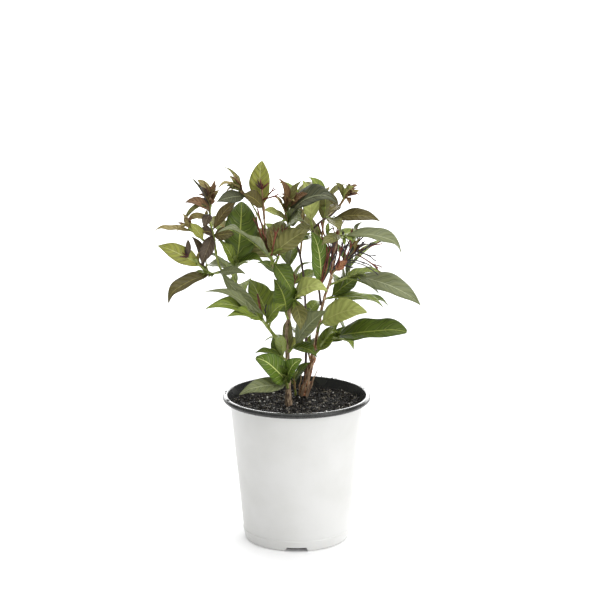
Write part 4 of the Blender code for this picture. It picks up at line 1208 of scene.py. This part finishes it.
# and dry stalks, by what carries them: (share of it, heading, rise, length)
dryStalks = [
    ("bough_right", [(0.03, 275, 81, 27), (0.05, 45, 80, 42), (0.08, 330, 81, 50), (0.12, 294, 76, 44),
     (0.12, 325, 62, 31), (0.04, 220, 70, 22)]),
    ("flowers_right", [(0.05, 325, 66, 26), (0.25, 341, 46, 27), (0.35, 338, 72, 34), (0.40, 342, 36, 34),
     (0.45, 350, 58, 28), (0.35, 311, -2, 14)]),
    ("bough_upper_right", [(0.76, 300, -60, 26), (0.80, 330, -70, 30)]),
    ("foliage_right_middle", [(1.00, 330, 76, 38), (0.98, 322, 70, 30), (0.95, 345, 74, 46),
     (0.98, 340, 66, 34)]),
    ("flowers_right", [(0.12, 335, 76, 36)]),
    ("bough_right", [(0.02, 285, 84, 34)]),
    ("foliage_centre", [(0.60, 195, 67, 42), (0.70, 210, 72, 26), (0.90, 325, 76, 26)]),
    ("foliage_inner", [(0.10, 306, 80, 24)]),
    ("foliage_low_left", [(0.50, 231, 80, 19)]),
    ("foliage_top", [(0.60, 320, 20, 18)]),
]
# and thin dead shoots in a bunch round the foot of a stem: (x, y, heading, rise, length, radius)
deadShoots = [(2.2, 14.6, 350, 72, 38, 0.8), (7.4, 15.8, 338, 80, 46, 0.9), (4.2, 13.8, 352, 80, 30, 0.7),
              (8.2, 19.4, 350, 70, 26, 0.6), (6.0, 13.4, 20, 66, 22, 0.6), (1.6, 17.4, 330, 84, 24, 0.6)]
dryStalk = dict(fork=0.68, lobeCounts=(2, 2, 3), opening=(9, 26), lobeLengths=(0.24, 0.34))
narrow = dict(perTuft=5, opening=(14, 62), length=(9, 17), width=0.27, arch=(40, 150), margin=3)


def isInside(point, margin):
    return all(low * 1000 + margin < value < high * 1000 - margin
               for low, value, high in zip(cadBox[0], point, cadBox[1]))


def fineLeaf(name, base, stem, direction, length, tilt, arch, width, tint):
    return dict(base=base, direction=direction, facing=bladeFacing(direction, stem, tilt), length=length,
                arch=arch, width=width * length, mass=name, tint=tint, stem=stem, broad=1.0)


def growNarrowLeaves():
    # narrow curled leaves crowded round the tips that have a tuft
    n = narrow
    for name, mass in masses.items():
        chance = random.Random(name + " narrow")
        tip, stem = along(grown["twigs"][name][0], 0.98)
        for k in range(n["perTuft"] if "tuftTints" in mass else 0):
            direction = pairDirection(stem, chance.uniform(0, 360), chance.uniform(*n["opening"]))
            length = chance.uniform(*n["length"])
            tint = chance.choice(mass["tuftTints"].split())
            arch = chance.uniform(*n["arch"])
            spot = fineLeaf(name, tip, stem, direction, length, 0, arch, n["width"], tint)
            if all(isInside(bend(spot, share)[0], n["margin"]) for share in (1.0, 0.5)):
                grown["leaves"].append(spot)


def growFineShapes():
    for name, leaves in youngLeaves.items():
        for share, heading, rise, length, tilt, arch, width, tint in leaves:
            base, stem = along(grown["twigs"][name][0], share)
            direction = compass(heading, rise)
            grown["leaves"].append(fineLeaf(name, base, stem, direction, length, tilt, arch, width, tint))
    d = dryStalk
    chance = random.Random("stalks")
    placed = [(name, *stalk) for name, stalks in dryStalks for stalk in stalks]
    for name, share, heading, rise, length in placed:
        route = (grown["limbs"].get(name) or grown["twigs"][name])[0]
        base, direction = along(route, share)[0], compass(heading, rise)
        lobes = []
        for k in range(chance.choice(d["lobeCounts"])):
            aim = pairDirection(direction, chance.uniform(0, 360), chance.uniform(*d["opening"]))
            lobes.append((aim, length * chance.uniform(*d["lobeLengths"])))
        addFlower(base, direction, length, base + direction * length * d["fork"], lobes, name)


shoots = growShoots()
growFineShapes()
growNarrowLeaves()
print("with side shoots:", len(grown["leaves"]), "leaves,", len(shoots), "shoots")

twigSkins = [shootSkin("greenShootSkin", "#6f7d33", "#a3ae5c", 0.5),
             shootSkin("redShootSkin", "#6b4c34", "#9c7d55", 0.5),
             shootSkin("tanShootSkin", "#6d5634", "#a58d5e", 0.6),
             shootSkin("deadShootSkin", "#6f5443", "#c2a688", 0.75)]
tints = list(leafTints)
warmTints = ("bronze", "darkBronze", "redBronze", "plum", "darkOlive", "coral")
leafMaterials = []
for tint, tones in leafTints.items():
    shown, shade, vein, under, underVein = tones.split()
    leafMaterials += [leafSide(tint + "LeafUpper", shown, shade, vein, leafFinish["gloss"], True),
                      leafSide(tint + "LeafUnder", under, shown, underVein, leafFinish["underGloss"], False)]


def buildLeaves():
    keels = bmesh.new()
    sprays = {}
    for i, spot in enumerate(grown["leaves"]):
        chance = random.Random(f"leaf {i}")
        spray = masses[spot["mass"]]["spray"]
        if spray not in sprays:
            sprays[spray] = bmesh.new()
            sprays[spray].loops.layers.uv.new("leafMap")
        point = bladeSurface(spot, chance)
        makeBlade(spot, point, sprays[spray], 2 * tints.index(spot["tint"]))
        makeKeel(spot, point, keels, int(spot["tint"] in warmTints))
    for spray, whole in sprays.items():
        bmesh.ops.remove_doubles(whole, verts=whole.verts, dist=0.02)
        nodes = [name for name, mass in masses.items() if mass["spray"] == spray]
        # each upper side's material is followed by its under side's, which the wall's inner face takes
        piece = finishPiece(spray + "_leaves", whole, leafMaterials, nodes)
        smooth = piece.modifiers.new("smooth", "SUBSURF")
        smooth.levels = smooth.render_levels = 1
        wall = piece.modifiers.new("blade", "SOLIDIFY")
        wall.thickness, wall.offset, wall.material_offset = blade["thick"] * mm, -1, 1
    finishPiece("leaf_keels", keels, twigSkins[:2], list(masses))


buildLeaves()

# twigs of the masses, with a swelling where each pair of leaves stands, and side shoots and dead shoots

twig = dict(sides=8, spacing=1.6, fewest=3, knuckle=0.45, knuckleLength=1.3, knuckleShare=0.6, knuckles=8,
            fromLength=12, sink=1.2, foot=0.3)
deadShoot = dict(sides=6, rings=6, sink=1.5, wander=0.6, thick=1.25, thinning=0.6)


def buildTwigs():
    t, d = twig, deadShoot
    whole = bmesh.new()
    for name, mass in masses.items():
        route, radii = grown["twigs"][name]
        first = (route[1] - route[0]).normalized()
        points, thin = spacedOut(route, radii, t["spacing"], t["fewest"])
        feet = [spot["base"] for spot in grown["leaves"]
                if spot["mass"] == name and spot["length"] > t["fromLength"]]

        def knuckles(point, outward, feet=feet[:t["knuckles"]]):
            return sum(t["knuckle"] * math.exp(-((point - foot).length / t["knuckleLength"]) ** 2)
                       for foot in feet) * t["knuckleShare"]

        points.insert(0, route[0] - first * t["sink"])
        thin.insert(0, thin[0] + t["foot"])
        isWarm = any(tint.split(":")[0] in warmTints for tint in mass["tints"].split())
        skin = 1 if isWarm and mass["spray"] == "top" else 0 if mass["tints"] else 2
        pour(sweep(points, thin, t["sides"], knuckles, skin), whole)
    for start, end, spot in shoots:
        half = start + (end - start) * 0.5 + up * shoot["rise"]
        skin = int(spot["tint"] in warmTints)
        pour(sweep([start, half, end], shoot["radii"], shoot["sides"], None, skin), whole)
    chance = random.Random("dead shoots")
    for x, y, heading, rise, length, radius in deadShoots:
        start, points, radii = Vector((x, y, soil["top"] - d["sink"])), [], []
        for k in range(d["rings"] + 1):
            aside = Vector((swing(chance, d["wander"]), swing(chance, d["wander"]), 0))
            points.append(start + compass(heading, rise) * (length * k / d["rings"]) + aside)
            radii.append(radius * (d["thick"] - d["thinning"] * k / d["rings"]))
        pour(sweep(points, radii, d["sides"], None, 3), whole)
    finishPiece("twigs", whole, twigSkins, list(masses))


buildTwigs()

# spent flowers: dry stalks that fork into thin tubes, each with its curled sepals

flower = dict(sides=6, rings=6, sag=0.03, sagRise=0.3, radius=0.70, waist=0.08, footRadius=0.78,
              forkRadius=0.76, tubeShare=0.66, tubeStart=0.5, tubeRadii=[0.55, 0.5, 0.45, 0.5, 0.62],
              sepals=3, sepalTurn=72, sepalLength=(2.4, 5.0), sepalLean=(0.2, 0.9), sepalStart=0.3,
              sepalSides=4, sepalRadii=[0.30, 0.27, 0.18, 0.07])
# the styles, hair-like threads: (what carries it, share of it, heading, rise, droop, length)
style = dict(radius=0.52, tip=0.3, rings=12, sides=5, places=[
    ("flowers_right", 0.55, 348, 14, 0.8, 22), ("flowers_right", 0.45, 345, 16, 1.1, 31),
    ("flowers_right", 0.50, 330, 30, 0.9, 18), ("foliage_upper_left", 0.85, 212, 58, -0.8, 21),
    ("foliage_top_right", 0.70, 214, 52, -0.6, 12), ("foliage_inner", 0.30, 20, 30, 0.5, 12)])
stalkSkins = [shootSkin("dryStalkSkin", "#2c282a", "#544c4e", 0.6),
              shootSkin("redStalkSkin", "#52281f", "#8a4c38", 0.6),
              shootSkin("dryStyleSkin", "#44413f", "#6b6663", 0.7)]


def curl(start, direction, lean, length, steps):
    # points that leave along a direction and bend over towards another
    points = [start]
    for k in range(1, steps + 1):
        way = (direction + lean * (k / steps)).normalized()
        points.append(points[-1] + way * (length / steps))
    return points


def makeFlower(bloom, whole, chance):
    f = flower
    isRed = masses.get(bloom["on"], {}).get("spray") in ("centre", "top")
    skin = 1 if isRed else chance.choice((0, 0, 1))
    side = squareTo(Vector((chance.gauss(0, 1), chance.gauss(0, 1), f["sagRise"])), bloom["direction"])
    base, fork, rings = bloom["base"], bloom["fork"], f["rings"]
    sag = bloom["length"] * f["sag"]
    stalk = [base + (fork - base) * (k / rings) + side * (sag * math.sin(math.pi * (k / rings)))
             for k in range(rings + 1)]
    radii = [f["radius"] - f["waist"] * math.sin(math.pi * k / rings) for k in range(1, rings)]
    pour(sweep(stalk, [f["footRadius"]] + radii + [f["forkRadius"]], f["sides"], None, skin), whole)
    for lobe, reach in bloom["lobes"]:
        tubeLength = reach * f["tubeShare"]
        points = [fork - lobe * f["tubeStart"]] + [fork + lobe * (tubeLength * k / 4) for k in range(1, 5)]
        pour(sweep(points, f["tubeRadii"], f["sides"], None, skin), whole)
        first = chance.uniform(0, 360)
        for k in range(f["sepals"]):
            outward = pairDirection(lobe, first + f["sepalTurn"] * k, 90)
            length = min(chance.uniform(*f["sepalLength"]), reach - tubeLength)
            start = fork + lobe * tubeLength - lobe * f["sepalStart"]
            sepal = curl(start, lobe, outward * chance.uniform(*f["sepalLean"]), length, 3)
            pour(sweep(sepal, f["sepalRadii"], f["sepalSides"], None, skin), whole)


def buildFlowers():
    whole = bmesh.new()
    for i, bloom in enumerate(grown["flowers"]):
        makeFlower(bloom, whole, random.Random(f"flower {i}"))
    for name, share, heading, rise, droop, length in style["places"]:
        start = along(grown["twigs"][name][0], share)[0]
        points = curl(start, compass(heading, rise), droop * -up, length, style["rings"])
        radii = [style["radius"]] * style["rings"] + [style["tip"]]
        pour(sweep(points, radii, style["sides"], None, 2), whole)
    finishPiece("spent_flowers", whole, stalkSkins, ["flowers_right"], 60)


bud = dict(shape=[(0.0, 0.45), (0.2, 0.7), (0.45, 1.0), (0.7, 0.8), (0.88, 0.42), (1.0, 0.08)],
           slim=0.95, bow=0.5, sides=7)


def buildBuds():
    b, whole = bud, bmesh.new()
    for i, (base, direction, length) in enumerate(grown["buds"]):
        chance = random.Random(f"bud {i}")
        side = squareTo(Vector((chance.gauss(0, 1), chance.gauss(0, 1), 0)), direction)
        points = [base + direction * (length * share) + side * (b["bow"] * math.sin(math.pi * share))
                  for share, size in b["shape"]]
        radii = [growth["budRadius"] * b["slim"] * size for share, size in b["shape"]]
        pour(sweep(points, radii, b["sides"], None, chance.choice((0, 0, 1))), whole)
    skins = (shootSkin("darkBudSkin", "#351f22", "#5e3533", 0.45),
             shootSkin("redBudSkin", "#4d2426", "#7d4238", 0.5))
    finishPiece("bud_clusters", whole, skins, [name for name, mass in masses.items() if mass.get("buds")])


buildFlowers()
buildBuds()

# bark of the stems and boughs

barks = dict(tan=stemBark("tanWeigelaBark", "#4c3b2f", "#9b836a", "#d9c1a1", 0.8, 0.5),
             flaky=stemBark("flakyWeigelaBark", "#4e3024", "#ae8a6c", "#f0dbbf", 0.85, 0.8),
             dark=stemBark("darkShootBark", "#33252a", "#54403e", "#7c6658", 0.6, 0.3),
             green=stemBark("greenShootBark", "#66702f", "#8f9a4a", "#b0b56a", 0.6, 0.25),
             peeling=stemBark("peelingWeigelaBark", "#64301f", "#b0754f", "#f0d6b4", 0.85, 0.5),
             red=stemBark("redShootBark", "#4a2724", "#7d4336", "#a2694e", 0.6, 0.3))
barkShape = dict(sides=20, spacing=1.3, fewest=4, ridges=0.16, ridgeWidth=1.6, ridgeLength=0.13, lumps=0.22,
                 lumpSize=0.28, reach=0.7, stoutReach=1.0, stout=1.5, nodeSpacing=34.0, nodeHeight=0.55,
                 nodeLength=2.0, sink=1.0, footSink=2.5, footFlare=0.3, collar=0.35, collarLength=2.2,
                 slim=0.84)
flake = dict(count=46, limb="stem_right", top=0.42, crowding=1.3, width=(2.0, 4.5), length=(3.0, 8.0),
             lift=(0.4, 1.3), ragged=0.3, proud=0.15, thick=0.25)


def buildLimb(name, limb):
    s = barkShape
    route, radii = grown["limbs"][name]
    length = routeLength(route)
    points, thick = spacedOut(route, radii, s["spacing"], s["fewest"])
    thick = [radius * s["slim"] for radius in thick]
    first = (route[1] - route[0]).normalized()
    isStem = "foot" in limb
    points.insert(0, route[0] - first * (s["footSink"] if isStem else s["sink"]))
    thick.insert(0, thick[0] + (s["footFlare"] if isStem else 0.0))
    reach = s["stoutReach"] if limb["thick"] > s["stout"] else s["reach"]
    nodes = [along(route, k * s["nodeSpacing"] / length)[0]
             for k in range(1, int(length / s["nodeSpacing"]) + 1)]

    def relief(point, outward):
        place, across = point + outward * 2, s["ridgeWidth"]
        ridged = Vector((place.x * across, place.y * across, place.z * s["ridgeLength"]))
        streaks = noise.noise(ridged) * s["ridges"]
        lumps = noise.noise(place * s["lumpSize"]) * s["lumps"]
        knots = sum(s["nodeHeight"] * math.exp(-((point - node).length / s["nodeLength"]) ** 2)
                    for node in nodes)
        knots = knots * min(1.0, limb["thick"] / 2) * (0.6 + 0.4 * outward.x)
        away = (point - route[0]).length
        collar = 0 if isStem else s["collar"] * math.exp(-(away / s["collarLength"]) ** 2)
        return (streaks + lumps) * reach + knots + collar

    form = sweep(points, thick, s["sides"], relief)
    finishPiece(name + "_bark", form, (barks[limb["bark"]],), [name])


def buildFlakes():
    # thin strips of dead bark that lift off the foot of a stem
    f = flake
    route, radii = grown["limbs"][f["limb"]]
    chance = random.Random("flakes")
    whole = bmesh.new()
    for k in range(f["count"]):
        share = f["top"] * chance.random() ** f["crowding"]
        point, axis = along(route, share)
        stemRadius = radiusAlong(route, radii, share)
        turn = Matrix.Rotation(chance.uniform(0, turnAround), 3, axis) @ squareTo(Vector((1, 0, 0)), axis)
        width, length = chance.uniform(*f["width"]), chance.uniform(*f["length"])
        lift = chance.uniform(*f["lift"])
        form = bmesh.new()
        bmesh.ops.create_grid(form, x_segments=3, y_segments=4, size=0.5)
        for corner in form.verts:
            across, rise = corner.co.x, corner.co.y
            angle = across * width / stemRadius
            free = (across + 0.5) ** 2 * lift
            ragged = rise * (1 + f["ragged"] * noise.noise(Vector((across * 3, k, 0))))
            outward = Matrix.Rotation(angle, 3, axis) @ turn
            corner.co = point + outward * (stemRadius + f["proud"] + free) + axis * (ragged * length)
        pour(form, whole)
    piece = finishPiece("bark_flakes", whole, (barks["peeling"],), [f["limb"]])
    wall = piece.modifiers.new("flake", "SOLIDIFY")
    wall.thickness, wall.offset = f["thick"] * mm, 0


for name, limb in limbs.items():
    buildLimb(name, limb)
buildFlakes()

# pot and soil

# moulded polypropylene of the pot's outer layer: white and satin, with faint smudges from handling
white = mottled("whitePolypropylene", "#d8d8d6", 0.36, 34, 4.0, [(0.34, "#dadad7"), (0.60, "#e0e0de")],
                0.10, 0.05, ior=1.49, shine=(0.46, 0.32), fine=(1.8, 1.0))
# its black inner layer, rolled out over the rim: glossy, with fine scuffs and a little dust
black = mottled("blackPolypropylene", "#232426", 0.24, 12, 3.0, [(0.42, "#232422"), (0.74, "#3a3b39")],
                0.03, 0.03, ior=1.49, shine=(0.16, 0.38))
buildPot(white, black)
# moist peat: almost black, matt, with browner and drier patches
buildSoil(mottled("moistPeat", "#241b15", 0.92, 9, 6.0,
                  [(0.30, "#070504"), (0.52, "#140f0b"), (0.72, "#2c231a")], 0.9, 0.6, fine=(1.1, 4.0)))
buildCrumbs((crumbMaterial("darkPeatCrumb", "#060403", "#1b1612", 0.5),
             crumbMaterial("brownPeatCrumb", "#150f0b", "#3a2f24", 0.6),
             crumbMaterial("dryBarkChip", "#5c544a", "#b2aa9c", 0.8)),
            crumbMaterial("perlite", "#cfccc4", "#f3f1ec", 0.85))

# floor, light and camera

form = bmesh.new()
bmesh.ops.create_grid(form, x_segments=1, y_segments=1, size=light["floorHalf"])
paper, tree, shader = newMaterial("palePaper", "#f7f7f7", 0.9)
shader.inputs["Emission Color"].default_value = hexColour("#ffffff")
shader.inputs["Emission Strength"].default_value = light["paperGlow"]
floor = makeObject("floor", form, (paper,), 1)


def aimLamp(name, kind, place, target):
    lamp = bpy.data.objects.new(name, bpy.data.lights.new(name, kind))
    lamp.location = place
    lamp.rotation_euler = (Vector(target) - Vector(place)).to_track_quat("-Z", "Y").to_euler()
    scene.collection.objects.link(lamp)
    return lamp


for part in ("top", "side"):
    lamp = aimLamp(part + "Softbox", "SUN", light[part + "From"], (0, 0, 0))
    lamp.data.energy, lamp.data.angle = light[part], math.radians(light[part + "Spread"])
strip = aimLamp("stripSoftbox", "AREA", light["stripPlace"], light["stripTarget"])
strip.data.shape = "RECTANGLE"
strip.data.size, strip.data.size_y = light["stripSize"]
strip.data.energy = light["stripPower"]
strip.visible_camera = False
world = bpy.data.worlds.new("studio")
world.use_nodes = True
world.node_tree.nodes["Background"].inputs["Color"].default_value = (1, 1, 1, 1)
world.node_tree.nodes["Background"].inputs["Strength"].default_value = light["sky"]
scene.world = world
scene.view_settings.view_transform = "Standard"

camera = bpy.data.objects.new("camera", bpy.data.cameras.new("camera"))
camera.data.sensor_width, camera.data.lens = view["sensor"], view["lens"]
camera.location = Vector(view["place"]) * mm
camera.rotation_euler = (math.radians(90 - view["lookDown"]), 0, 0)
scene.collection.objects.link(camera)
scene.camera = camera
